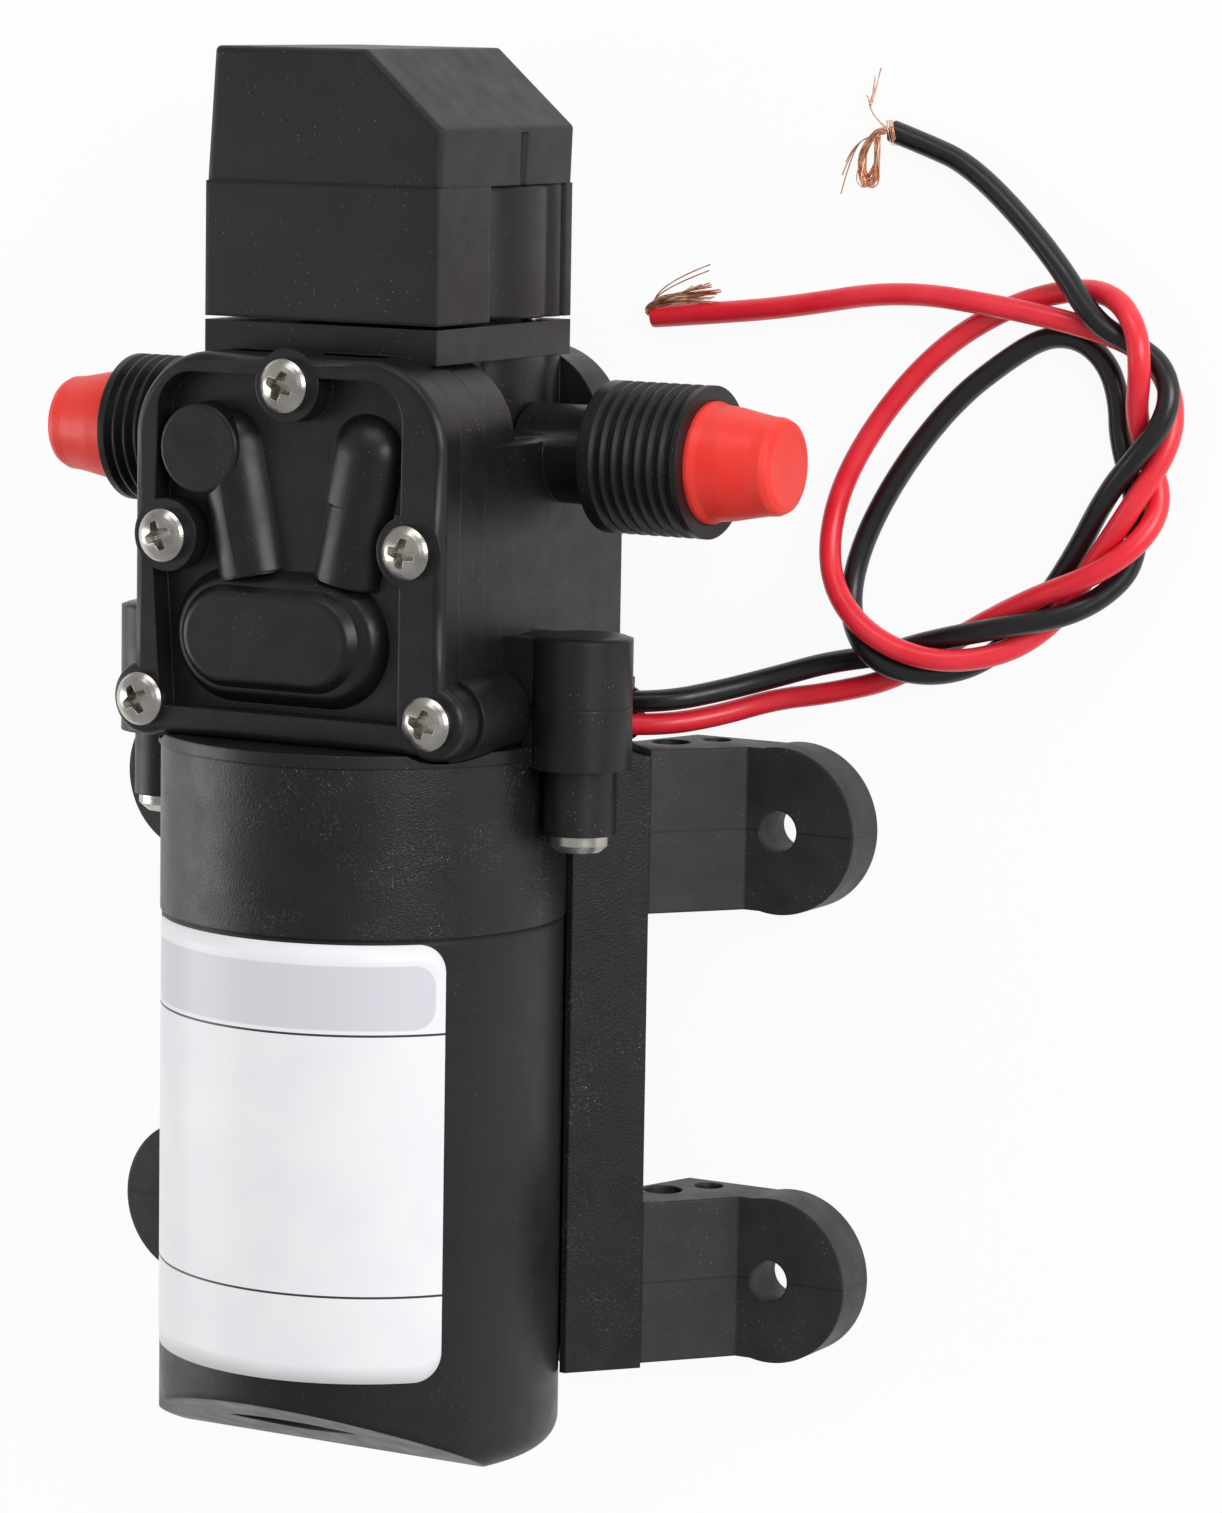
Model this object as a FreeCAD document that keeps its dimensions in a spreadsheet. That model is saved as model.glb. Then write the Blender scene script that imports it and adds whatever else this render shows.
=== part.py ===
import FreeCAD, Part
import math
import os

import Sketcher
from FreeCAD import Placement, Rotation, Vector

# Twelve volt diaphragm pump for a caravan's fresh water, lying on its four rubber feet.
# Frame, in millimetres: X along the two side ports, Y along the motor's axis towards the
# pressure switch, Z up, away from the surface that the feet stand on. The origin is the
# centre of the four foot holes, on that surface.

os.makedirs("parts", exist_ok=True)
doc = FreeCAD.newDocument("DiaphragmPump")
sheet = doc.addObject("Spreadsheet::Sheet", "Sizes")

SIZES = [
    # where the main parts lie
    ("axis_height", 38.5, "motor axis above the floor"),
    ("port_level", 84.75, "line of the ports, from the centre of the feet"),
    # pump head, measured from the motor axis and the line of the ports
    ("head_half_width", 24.1, "head, half of its width"),
    ("head_rear", 28.7, "head, behind the motor axis"),
    ("head_front", 16.4, "head, front face before the motor axis"),
    ("head_top", 14.0, "head, above the ports"),
    ("head_bottom", 38.7, "head, below the ports"),
    ("head_corner", 12.0, "head, upper corner radius"),
    ("shoulder_half", 15.5, "head, half width of the neck between the shoulders"),
    ("shoulder_level", 3.0, "shoulder above the ports"),
    ("shoulder_front", 1.5, "shoulder's front end before the axis"),
    ("shoulder_rear", 22.0, "shoulder's rear end behind the axis"),
    # valve cover and its screws
    ("cover_rim", 4.8, "valve cover, thickness at the rim"),
    ("cover_proud", 0.5, "valve cover, wider than the head on each side"),
    ("cover_edge", 1.3, "valve cover, rounding of the front edge"),
    ("recess_depth", 3.6, "sunk field of the valve cover"),
    ("recess_left", 20.8, "sunk field, to the left"),
    ("recess_right", 17.2, "sunk field, to the right"),
    ("recess_top", 11.2, "sunk field, above the ports"),
    ("recess_bottom", 34.7, "sunk field, below the ports"),
    ("ear_x", 22.9, "lower cover screws, from the middle"),
    ("ear_drop", 34.0, "lower cover screws, below the ports"),
    ("ear_radius", 5.2, "ear round a lower cover screw"),
    ("ear_depth", 12.0, "ear of the head, length"),
    ("mid_screw_x", 19.4, "middle cover screws, from the middle"),
    ("mid_screw_drop", 11.3, "middle cover screws, below the ports"),
    ("top_screw_rise", 10.0, "top cover screw, above the ports"),
    ("screw_boss", 5.0, "boss round a cover screw"),
    ("screw_radius", 1.9, "cover screw shank"),
    ("screw_head_radius", 3.65, "cover screw head"),
    ("screw_head_height", 2.4, "cover screw head, height"),
    ("screw_depth", 12.0, "cover screw, depth in the head"),
    ("screw_gap", 0.1, "gap round a screw shank"),
    # raised forms of the valve cover
    ("chamber_x", 3.3, "valve chamber, centre left of the middle"),
    ("chamber_drop", 24.6, "valve chamber, below the ports"),
    ("chamber_half", 7.1, "valve chamber, half distance of its round ends"),
    ("chamber_radius", 5.9, "valve chamber, end radius on top"),
    ("chamber_slope", 3.4, "valve chamber, spread of its sloping side"),
    ("chamber_edge", 1.2, "valve chamber, rounding of its top edge"),
    ("round_boss_x", 14.2, "round boss, left of the middle"),
    ("round_boss_rise", 0.8, "round boss, above the ports"),
    ("round_boss_radius", 6.2, "round boss"),
    ("channel_radius", 5.2, "V channels, outer radius"),
    ("channel_bore", 3.0, "V channels, inner radius"),
    ("channel_low_x", 7.5, "V channels, lower end from the middle"),
    ("channel_low_drop", 16.5, "V channels, lower end below the ports"),
    # ports
    ("port_behind", 12.8, "ports behind the motor axis"),
    ("port_neck", 6.85, "port neck radius"),
    ("thread_radius", 10.48, "half inch pipe thread, outer radius"),
    ("thread_start", 31.4, "thread starts, from the middle"),
    ("port_end", 46.8, "port ends, from the middle"),
    ("mouth_radius", 8.45, "port mouth radius"),
    ("mouth_depth", 8.8, "port mouth depth"),
    ("passage_radius", 4.0, "water passage radius"),
    ("riser_radius", 2.6, "riser to the valve cover, radius"),
    ("riser_x", 11.2, "riser, from the middle"),
    ("riser_rise", 1.0, "riser, above the ports"),
    ("plug_length", 11.7, "transport plug, outside the port"),
    ("plug_end_radius", 6.7, "transport plug, end radius"),
    ("plug_wall", 1.4, "transport plug wall"),
    # screw towers beside the motor
    ("lug_out", 5.1, "screw tower's middle, outside the motor collar"),
    ("lug_behind", 1.5, "screw tower, behind the motor axis"),
    ("lug_radius", 7.0, "screw tower, upper radius"),
    ("lug_top", 23.8, "screw tower, top below the ports"),
    ("lug_seam", 33.0, "seam in the screw tower, below the ports"),
    ("lug_foot", 41.5, "wide part of the tower ends, below the ports"),
    ("tower_radius", 5.0, "screw tower, lower radius"),
    ("tower_end", 50.6, "screw tower ends, below the ports"),
    ("web_thickness", 3.8, "web between head and tower"),
    ("long_screw_radius", 2.0, "tower screw shank"),
    ("long_head_radius", 4.4, "tower screw head"),
    ("long_head_height", 2.4, "tower screw head, height"),
    # crank space, diaphragm and valve plate
    ("crank_radius", 8.9, "crank space"),
    ("crank_top", 10.0, "crank space ends, below the ports"),
    ("diaphragm_drop", 22.5, "diaphragm centre, below the ports"),
    ("diaphragm_radius", 15.0, "diaphragm, outer radius"),
    ("stack_gap", 0.1, "gap round diaphragm and valve plate"),
    ("ledge_front", 9.2, "diaphragm ledge before the motor axis"),
    ("ledge_opening", 12.2, "opening inside the ledge, radius"),
    ("diaphragm_rim", 1.75, "diaphragm rim thickness"),
    ("diaphragm_skin", 1.2, "diaphragm thickness at its middle"),
    ("plate_radius", 6.5, "rod plate radius"),
    ("washer_radius", 4.2, "clamping washer radius"),
    ("washer_height", 1.2, "clamping washer height"),
    ("gasket_thickness", 0.9, "cover gasket thickness"),
    ("valve_web", 2.2, "valve plate, web between the chambers"),
    ("inlet_valve_x", 8.9, "inlet valve, left of the middle"),
    ("outlet_valve_x", 2.6, "outlet valve, right of the middle"),
    ("valve_drop", 24.0, "valves, below the ports"),
    ("valve_radius", 2.6, "valve disc radius"),
    ("valve_disc", 0.7, "valve disc thickness"),
    ("stem_radius", 0.8, "valve stem radius"),
    # crank drive
    ("shaft_radius", 2.0, "motor shaft radius"),
    ("throw", 1.2, "throw of the eccentric"),
    ("hub_radius", 3.3, "eccentric hub radius"),
    ("hub_length", 7.0, "eccentric hub length"),
    ("weight_gap", 5.6, "counterweight, below the eccentric hub"),
    ("weight_height", 2.6, "counterweight, along the shaft"),
    ("weight_radius", 8.4, "counterweight radius"),
    ("race", 0.7, "thickness of a bearing ring"),
    ("ball_radius", 0.6, "bearing ball radius"),
    ("rod_ring", 1.2, "connecting rod, wall round its bearing"),
    ("rod_width", 6.0, "connecting rod, width along the shaft"),
    ("running_gap", 0.05, "gap of a running fit"),
    ("end_bearing_radius", 5.0, "shaft bearings, outer radius"),
    ("end_bearing_width", 4.0, "shaft bearings, width"),
    # motor
    ("flange_proud", 0.3, "flange of the motor housing, proud of the collar"),
    ("flange_thickness", 1.8, "housing flange thickness"),
    ("collar_proud", 0.25, "motor collar stands proud of the shell"),
    ("collar_length", 23.2, "motor collar length"),
    ("shell_radius", 28.05, "motor shell radius"),
    ("shell_wall", 1.3, "motor shell wall"),
    ("shell_end", 138.8, "motor shell ends, below the ports"),
    ("shell_rounding", 3.4, "rounding at the end of the motor shell"),
    ("facet_foot", 6.7, "oblique facet starts, before the axis"),
    ("facet_rise", 10.0, "oblique facet, height along the motor"),
    ("slot_length", 20.6, "lens slot in the facet, length"),
    ("slot_width", 4.6, "lens slot in the facet, width"),
    ("can_wall", 1.4, "motor can wall"),
    ("can_gap", 0.15, "gap between can and shell"),
    ("can_length", 84.0, "motor can length"),
    ("magnet_thickness", 3.2, "magnet thickness"),
    ("magnet_length", 52.0, "magnet length"),
    ("air_gap", 0.5, "air gap between magnets and armature"),
    ("core_length", 44.0, "armature core length"),
    ("core_below", 26.9, "armature core starts, below the can's top"),
    ("magnet_part", 7.0, "magnets end, from the middle plane"),
    ("core_slots", 12, "slots of the armature"),
    ("commutator_radius", 7.5, "commutator radius"),
    ("commutator_length", 9.0, "commutator length"),
    ("commutator_drop", 51.0, "commutator starts, below the ports"),
    ("brush_width", 4.0, "brush, along the shaft"),
    ("brush_thickness", 5.0, "brush, across"),
    ("brush_length", 8.0, "brush length"),
    # base bracket and feet
    ("bracket_top", 42.0, "bracket starts, below the ports"),
    ("bracket_length", 87.0, "bracket length"),
    ("bracket_shoulder_x", 26.9, "bracket, upper edge of its sloping side"),
    ("bracket_shoulder_behind", 11.4, "the same edge, behind the motor axis"),
    ("bracket_rim_x", 34.2, "bracket, lower edge of its sloping side"),
    ("bracket_rim_behind", 19.9, "the same edge, behind the motor axis"),
    ("bracket_floor", 32.2, "underside of the bracket, behind the motor axis"),
    ("foot_x", 48.5, "foot holes, from the middle"),
    ("foot_y", 32.05, "foot holes, from the middle along the motor"),
    ("foot_hole", 2.9, "foot hole radius"),
    ("foot_pad_radius", 11.8, "foot pad radius"),
    ("foot_pad_thickness", 7.5, "foot pad thickness"),
    ("foot_width", 23.0, "leg of the foot, width"),
    ("foot_edge", 2.4, "rounding of the pad's upper edge"),
    ("foot_step_x", 43.4, "foot, where the sloping leg meets the pad"),
    ("foot_inner_x", 31.5, "foot, inner edge on the floor"),
    ("leg_thickness", 9.0, "foot, thickness of its leg"),
    ("tongue_thickness", 3.6, "tongue of the foot"),
    ("tongue_length", 4.5, "tongue of the foot, length in the bracket"),
    # pressure switch, measured from the line of the ports and the motor axis
    ("switch_half", 18.5, "pressure switch, half width"),
    ("switch_front", 13.0, "pressure switch, front before the axis"),
    ("switch_rear", 23.0, "pressure switch, rear behind the axis"),
    ("switch_base", 17.8, "top of the head's switch base, above the ports"),
    ("switch_foot", 18.3, "switch housing starts, above the ports"),
    ("switch_seam", 36.7, "seam under the switch cover, above the ports"),
    ("switch_top", 55.0, "switch cover ends, above the ports"),
    ("switch_wall", 1.8, "pressure switch wall"),
    ("slant_x", 6.7, "slanted corner starts, right of the middle"),
    ("slant_level", 44.5, "slanted corner ends, above the ports"),
    ("switch_edge", 0.8, "rounding of the switch edges"),
    ("notch_half", 13.6, "rear notch of the switch, from the middle"),
    ("notch_front", 0.8, "rear notch of the switch, behind the axis"),
    ("column_x", 14.4, "screw column, from the middle"),
    ("column_behind", 19.3, "screw column, behind the axis"),
    ("column_radius", 4.0, "screw column radius"),
    ("column_end", 2.7, "screw column ends, above the ports"),
    ("column_screw", 1.5, "column screw radius"),
    ("switch_centre", 4.5, "switch diaphragm, behind the axis"),
    ("pressure_radius", 9.0, "pressure chamber radius"),
    ("pressure_depth", 1.4, "pressure chamber depth"),
    ("plunger_radius", 2.0, "switch plunger radius"),
    ("plunger_foot", 6.0, "switch plunger, foot radius"),
    ("plunger_travel", 0.8, "switch plunger travel"),
    ("spring_radius", 4.0, "plunger spring, coil radius"),
    ("spring_wire", 0.45, "plunger spring, wire radius"),
    ("spring_turns", 4, "plunger spring, turns"),
    ("micro_length", 19.8, "microswitch length"),
    ("micro_width", 6.4, "microswitch width"),
    ("micro_height", 10.2, "microswitch height"),
    ("button_radius", 1.0, "microswitch button radius"),
    # wires
    ("wire_diameter", 3.1, "wire over its insulation"),
    ("core_diameter", 1.7, "bare copper end of a wire"),
    ("grommet_radius", 4.1, "grommet radius"),
    ("grommet_x", 24.3, "grommet starts, from the middle"),
    ("grommet_end", 28.8, "grommet ends, from the middle"),
    ("grommet_behind", 24.2, "grommet, behind the motor axis"),
    ("grommet_drop", 36.9, "grommet, below the ports"),
    ("wire_seat", 1.0, "depth of the wires' pockets in the grommet"),
    ("wire_slack", 0.15, "gap round a wire in its pocket"),
    ("wire_pitch", 3.2, "distance of the two wires in the grommet"),
]


class Size:
    """A length and the sheet formula that it comes from."""

    def __init__(self, value, formula):
        self.value = value
        self.formula = formula

    def join(self, other, sign, value):
        return Size(value, "(%s %s %s)" % (self.formula, sign, as_size(other).formula))

    def __add__(self, other):
        return self.join(other, "+", self.value + as_size(other).value)

    def __radd__(self, other):
        return as_size(other) + self

    def __sub__(self, other):
        return self.join(other, "-", self.value - as_size(other).value)

    def __rsub__(self, other):
        return as_size(other) - self

    def __mul__(self, other):
        return self.join(other, "*", self.value * as_size(other).value)

    def __rmul__(self, other):
        return as_size(other) * self

    def __truediv__(self, other):
        return self.join(other, "/", self.value / as_size(other).value)

    def __neg__(self):
        return Size(-self.value, "(0 - %s)" % self.formula)


def as_size(number):
    """A plain number as a size."""
    if isinstance(number, Size):
        return number
    return Size(float(number), "(%s)" % repr(float(number)))


class Sizes:
    """The named sizes, by name."""


size = Sizes()
for row, (alias, value, meaning) in enumerate(SIZES, start=1):
    sheet.set("A%d" % row, meaning)
    sheet.set("B%d" % row, str(value))
    sheet.setAlias("B%d" % row, alias)
doc.recompute()
for alias, value, meaning in SIZES:
    setattr(size, alias, Size(float(sheet.get(alias)), "Sizes." + alias))

# Directions that a cylinder or a turned piece can point in, from straight up.
UP = Rotation()
DOWN = Rotation(Vector(1, 0, 0), 180)
TO_RIGHT = Rotation(Vector(0, 1, 0), 90)
TO_LEFT = Rotation(Vector(0, 1, 0), -90)
TO_SWITCH = Rotation(Vector(1, 0, 0), -90)
TO_MOTOR = Rotation(Vector(1, 0, 0), 90)

SIDES = (-1, 1)


def bind(obj, name, length):
    """Ties one property of an object to the sheet."""
    obj.setExpression(name, as_size(length).formula)


def put(obj, at, turn=UP):
    """Places an object, with its position tied to the sheet."""
    x, y, z = (as_size(v) for v in at)
    obj.Placement = Placement(Vector(x.value, y.value, z.value), turn)
    for axis, length in (("x", x), ("y", y), ("z", z)):
        obj.setExpression("Placement.Base." + axis, length.formula)
    return obj


def cylinder(name, radius, length, at, turn=UP):
    obj = doc.addObject("Part::Cylinder", name)
    bind(obj, "Radius", radius)
    bind(obj, "Height", length)
    return put(obj, at, turn)


def cone(name, radius, end_radius, length, at, turn=UP):
    obj = doc.addObject("Part::Cone", name)
    bind(obj, "Radius1", radius)
    bind(obj, "Radius2", end_radius)
    bind(obj, "Height", length)
    return put(obj, at, turn)


def ball(name, radius, at):
    obj = doc.addObject("Part::Sphere", name)
    bind(obj, "Radius", radius)
    return put(obj, at)


def block(name, x, y, z):
    """A box between two planes in each direction."""
    obj = doc.addObject("Part::Box", name)
    for prop, (low, high) in zip(("Length", "Width", "Height"), (x, y, z)):
        bind(obj, prop, as_size(high) - as_size(low))
    return put(obj, (x[0], y[0], z[0]))


def fuse(name, shapes):
    obj = doc.addObject("Part::MultiFuse", name)
    obj.Shapes = shapes
    obj.Refine = True
    return obj


def group(name, shapes):
    """Separate solids that share one node."""
    obj = doc.addObject("Part::Compound", name)
    obj.Links = shapes
    return obj


def cut(name, base, tools):
    obj = doc.addObject("Part::Cut", name)
    obj.Base = base
    obj.Tool = tools[0] if len(tools) == 1 else fuse(name + "_tools", tools)
    obj.Refine = True
    return obj


def common(name, base, tool):
    obj = doc.addObject("Part::Common", name)
    obj.Base = base
    obj.Tool = tool
    obj.Refine = True
    return obj


def tube(name, outer, inner, length, at, turn=UP):
    return cut(name, cylinder(name + "_outer", outer, length, at, turn),
               [cylinder(name + "_inner", inner, length, at, turn)])


def new_body(name):
    body = doc.addObject("PartDesign::Body", name)
    planes = {f.Role: f for f in body.Origin.OriginFeatures}
    return body, planes


def sketch_in(body, planes, role, offset):
    """A sketch on one of the body's own planes, moved along that plane's normal."""
    sketch = body.newObject("Sketcher::SketchObject", body.Name + "_sketch")
    sketch.AttachmentSupport = [(planes[role], "")]
    sketch.MapMode = "FlatFace"
    sketch.AttachmentOffset = Placement(Vector(0, 0, as_size(offset).value), UP)
    sketch.setExpression("AttachmentOffset.Base.z", as_size(offset).formula)
    return sketch


def fix_point(sketch, geo, pos, point):
    """Ties one point of a sketch to the sheet."""
    for axis, kind, length in ((-2, "DistanceX", point[0]), (-1, "DistanceY", point[1])):
        length = as_size(length)
        if abs(length.value) < 1e-9:
            sketch.addConstraint(Sketcher.Constraint("PointOnObject", geo, pos, axis))
            continue
        index = sketch.addConstraint(Sketcher.Constraint(kind, -1, 1, geo, pos, length.value))
        sketch.setExpression("Constraints[%d]" % index, length.formula)


def draw_polygon(sketch, points):
    """A closed outline of straight lines."""
    flat = [Vector(as_size(x).value, as_size(y).value, 0) for x, y in points]
    first = sketch.GeometryCount
    count = len(flat)
    for i in range(count):
        sketch.addGeometry(Part.LineSegment(flat[i], flat[(i + 1) % count]))
    for i in range(count):
        following = first + (i + 1) % count
        sketch.addConstraint(Sketcher.Constraint("Coincident", first + i, 2, following, 1))
    for i, point in enumerate(points):
        fix_point(sketch, first + i, 1, point)


def draw_circle(sketch, centre, radius):
    x, y = (as_size(v) for v in centre)
    radius = as_size(radius)
    geo = sketch.addGeometry(Part.Circle(Vector(x.value, y.value, 0), Vector(0, 0, 1), radius.value))
    fix_point(sketch, geo, 3, centre)
    index = sketch.addConstraint(Sketcher.Constraint("Radius", geo, radius.value))
    sketch.setExpression("Constraints[%d]" % index, radius.formula)


def draw_stadium(sketch, centre, half, radius):
    """A slot outline that lies along the sketch's first axis."""
    x, y, half, radius = (as_size(v) for v in (centre[0], centre[1], half, radius))
    up, right = Vector(0, 1, 0), Vector(1, 0, 0)
    left_end = Vector(x.value - half.value, y.value, 0)
    right_end = Vector(x.value + half.value, y.value, 0)
    lift = up * radius.value
    out = right * radius.value
    lines = [(left_end + lift, right_end + lift), (right_end - lift, left_end - lift)]
    top = sketch.addGeometry(Part.LineSegment(*lines[0]))
    right_arc = sketch.addGeometry(Part.Arc(right_end + lift, right_end + out, right_end - lift))
    low = sketch.addGeometry(Part.LineSegment(*lines[1]))
    left_arc = sketch.addGeometry(Part.Arc(left_end - lift, left_end - out, left_end + lift))
    # An arc drawn clockwise is kept the other way round, so its first point is its end here.
    for line, line_pos, arc, arc_pos in ((top, 2, right_arc, 2), (low, 1, right_arc, 1),
                                         (low, 2, left_arc, 2), (top, 1, left_arc, 1)):
        sketch.addConstraint(Sketcher.Constraint("Tangent", line, line_pos, arc, arc_pos))
    sketch.addConstraint(Sketcher.Constraint("Equal", left_arc, right_arc))
    fix_point(sketch, left_arc, 3, (x - half, y))
    fix_point(sketch, right_arc, 3, (x + half, y))
    index = sketch.addConstraint(Sketcher.Constraint("Radius", left_arc, radius.value))
    sketch.setExpression("Constraints[%d]" % index, radius.formula)


PLANES = {"XY": "XY_Plane", "XZ": "XZ_Plane", "YZ": "YZ_Plane"}


def pad_between(body, planes, plane, draw, low, high, cutting=False):
    """Adds or cuts what an outline sweeps between two levels of its plane's third axis."""
    low, high = as_size(low), as_size(high)
    offset = -high if plane == "XZ" else low
    sketch = sketch_in(body, planes, PLANES[plane], offset)
    draw(sketch)
    feature = body.newObject("PartDesign::Pocket" if cutting else "PartDesign::Pad",
                             body.Name + ("_pocket" if cutting else "_pad"))
    feature.Profile = sketch
    bind(feature, "Length", high - low)
    feature.Reversed = cutting
    body.Tip = feature
    return feature


def prism(name, plane, points, low, high):
    body, planes = new_body(name)
    pad_between(body, planes, plane, lambda s: draw_polygon(s, points), low, high)
    return body


def turned(name, points, at, turn=UP):
    """A turned piece: its outline as radius and height, closed and on one side of the axis."""
    body, planes = new_body(name)
    sketch = sketch_in(body, planes, "XZ_Plane", 0)
    draw_polygon(sketch, points)
    feature = body.newObject("PartDesign::Revolution", name + "_turn")
    feature.Profile = sketch
    feature.ReferenceAxis = (sketch, ["V_Axis"])
    feature.Angle = 360
    body.Tip = feature
    return put(body, at, turn)


def round_edges(body, radius, chosen):
    """Rounds the edges of a body that pass a test."""
    doc.recompute()
    base = body.Tip
    edges = base.Shape.Edges
    names = ["Edge%d" % (i + 1) for i, edge in enumerate(edges) if chosen(edge)]
    feature = body.newObject("PartDesign::Fillet", body.Name + "_fillet")
    feature.Base = (base, names)
    bind(feature, "Radius", radius)
    body.Tip = feature
    return feature


def along(edge, axis):
    """True for a straight edge that runs along one axis."""
    if not isinstance(edge.Curve, (Part.Line, Part.LineSegment)):
        return False
    run = edge.Vertexes[-1].Point - edge.Vertexes[0].Point
    return run.Length > 1e-6 and abs(abs(run.dot(axis)) - run.Length) < 1e-6


def level(edge, axis, value):
    """True for an edge that lies at one level of an axis."""
    box = edge.BoundBox
    low, high = {"x": (box.XMin, box.XMax), "y": (box.YMin, box.YMax), "z": (box.ZMin, box.ZMax)}[axis]
    return abs(low - value) < 0.01 and abs(high - value) < 0.01


AXIS_X, AXIS_Y, AXIS_Z = Vector(1, 0, 0), Vector(0, 1, 0), Vector(0, 0, 1)
NODES = {}

# Levels along the motor, counted from the line of the ports, and heights from the motor axis.
axis = size.axis_height
ports = size.port_level


def above(length):
    return ports + length


def below(length):
    return ports - length


def before(length):
    return axis + length


def behind(length):
    return axis - length


port_z = behind(size.port_behind)
head_front_z = before(size.head_front)
cover_front_z = head_front_z + size.cover_rim
field_z = cover_front_z - size.recess_depth
diaphragm_y = below(size.diaphragm_drop)
ledge_z = before(size.ledge_front)
rim_top_z = ledge_z + size.diaphragm_rim
cover_screws = [(as_size(0), above(size.top_screw_rise))]
cover_screws += [(side * size.mid_screw_x, below(size.mid_screw_drop)) for side in SIDES]
cover_screws += [(side * size.ear_x, below(size.ear_drop)) for side in SIDES]
screw_hole = size.screw_radius + size.screw_gap
long_hole = size.long_screw_radius + size.screw_gap
collar_radius = size.shell_radius + size.collar_proud
flange_radius = collar_radius + size.flange_proud
lug_x = collar_radius + size.lug_out
lug_z = behind(size.lug_behind)
seam_y = below(size.lug_seam)

# Pump head: a block with round upper corners, both ports, the crank space and the seat of
# the diaphragm. Its lower screw lugs meet those of the motor housing.
head_body, head_planes = new_body("head_block")
head_outline = [(-size.head_half_width, below(size.head_bottom)),
                (size.head_half_width, below(size.head_bottom)),
                (size.head_half_width, above(size.head_top)),
                (-size.head_half_width, above(size.head_top))]
pad_between(head_body, head_planes, "XY", lambda s: draw_polygon(s, head_outline),
            behind(size.head_rear), head_front_z)
upper_limit = above(size.head_top).value
round_edges(head_body, size.head_corner,
            lambda e: along(e, AXIS_Z) and abs(e.BoundBox.YMax - upper_limit) < 0.01)
shoulder_cuts = []
for side in SIDES:
    inner, outer = side * size.shoulder_half, side * (size.head_half_width + 1)
    low, high = (outer, inner) if side < 0 else (inner, outer)
    shoulder_cuts.append(block("shoulder_cut", (low, high),
                               (above(size.shoulder_level), above(size.head_top + 1)),
                               (behind(size.shoulder_rear), before(size.shoulder_front))))
head_core = cut("head_core", head_body, shoulder_cuts)
head_adds = [head_core]
for x, y in cover_screws[3:]:
    head_adds.append(cylinder("head_ear", size.ear_radius + 0.6, size.ear_depth,
                              (x, y, head_front_z - size.ear_depth)))
for side in SIDES:
    turn = TO_RIGHT if side > 0 else TO_LEFT
    head_adds.append(cylinder("port_neck", size.port_neck, size.thread_start - size.head_half_width + 6,
                              (side * (size.head_half_width - 5), ports, port_z), turn))
    head_adds.append(cylinder("port_thread", size.thread_radius, size.port_end - size.thread_start,
                              (side * size.thread_start, ports, port_z), turn))
    head_adds.append(cylinder("head_lug", size.lug_radius, size.lug_seam - size.lug_top,
                              (side * lug_x, seam_y, lug_z), TO_SWITCH))
    low, high = sorted((side * (size.head_half_width - 1), side * lug_x), key=lambda v: v.value)
    head_adds.append(block("head_web", (low, high), (seam_y, below(size.lug_top)),
                           (lug_z - size.web_thickness / 2, lug_z + size.web_thickness / 2)))
    head_adds.append(cylinder("head_column", size.column_radius, size.switch_base - size.column_end,
                              (side * size.column_x, above(size.column_end), behind(size.column_behind)),
                              TO_SWITCH))
head_adds.append(block("switch_platform", (-size.switch_half, size.switch_half),
                       (above(size.head_top - 1), above(size.switch_base)),
                       (behind(size.switch_rear), before(size.switch_front))))
head_solid = fuse("head_solid", head_adds)
head_cuts = [
    cylinder("crank_space", size.crank_radius, size.head_bottom - size.crank_top + 1,
             (0, below(size.head_bottom + 1), axis), TO_SWITCH),
    cylinder("ledge_bore", size.ledge_opening, size.ledge_front + 1, (0, diaphragm_y, axis)),
    cylinder("stack_bore", size.diaphragm_radius + size.stack_gap, size.head_front - size.ledge_front + 1,
             (0, diaphragm_y, ledge_z)),
    cylinder("upper_bearing_bore", size.end_bearing_radius, size.end_bearing_width + 1,
             (0, below(size.crank_top + 1), axis), TO_SWITCH),
    cylinder("pressure_chamber", size.pressure_radius, size.pressure_depth + 1,
             (0, above(size.switch_base - size.pressure_depth), behind(size.switch_centre)), TO_SWITCH),
    cylinder("pressure_bore", 1.4, size.switch_base,
             (5.5, ports, behind(size.switch_centre + 4.8)), TO_SWITCH),
]
for side in SIDES:
    turn = TO_LEFT if side > 0 else TO_RIGHT
    inner_end = 4.0 if side > 0 else size.riser_x
    head_cuts += [
        cylinder("port_mouth", size.mouth_radius, size.mouth_depth + 1,
                 (side * (size.port_end + 1), ports, port_z), turn),
        cylinder("port_passage", size.passage_radius, size.port_end - inner_end,
                 (side * size.port_end, ports, port_z), turn),
        cylinder("riser", size.riser_radius, size.head_front + size.port_behind + 1,
                 (side * size.riser_x, above(size.riser_rise), port_z)),
        cylinder("lug_hole", long_hole, size.lug_seam - size.lug_top,
                 (side * lug_x, seam_y, lug_z), TO_SWITCH),
        cylinder("column_hole", size.column_screw + size.screw_gap, size.switch_base,
                 (side * size.column_x, above(size.column_end - 1), behind(size.column_behind)),
                 TO_SWITCH),
        cylinder("column_sink", size.column_screw * 2, 2.5,
                 (side * size.column_x, above(size.column_end - 1), behind(size.column_behind)),
                 TO_SWITCH),
    ]
for x, y in cover_screws:
    head_cuts.append(cylinder("screw_hole", screw_hole, size.screw_depth + 1,
                              (x, y, head_front_z - size.screw_depth)))
exit_low = size.grommet_x - 7
exit_high = size.grommet_end - 2.2
exit_rear = behind(size.head_rear)
exit_front = behind(size.grommet_behind - size.grommet_radius - 0.6)
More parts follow.
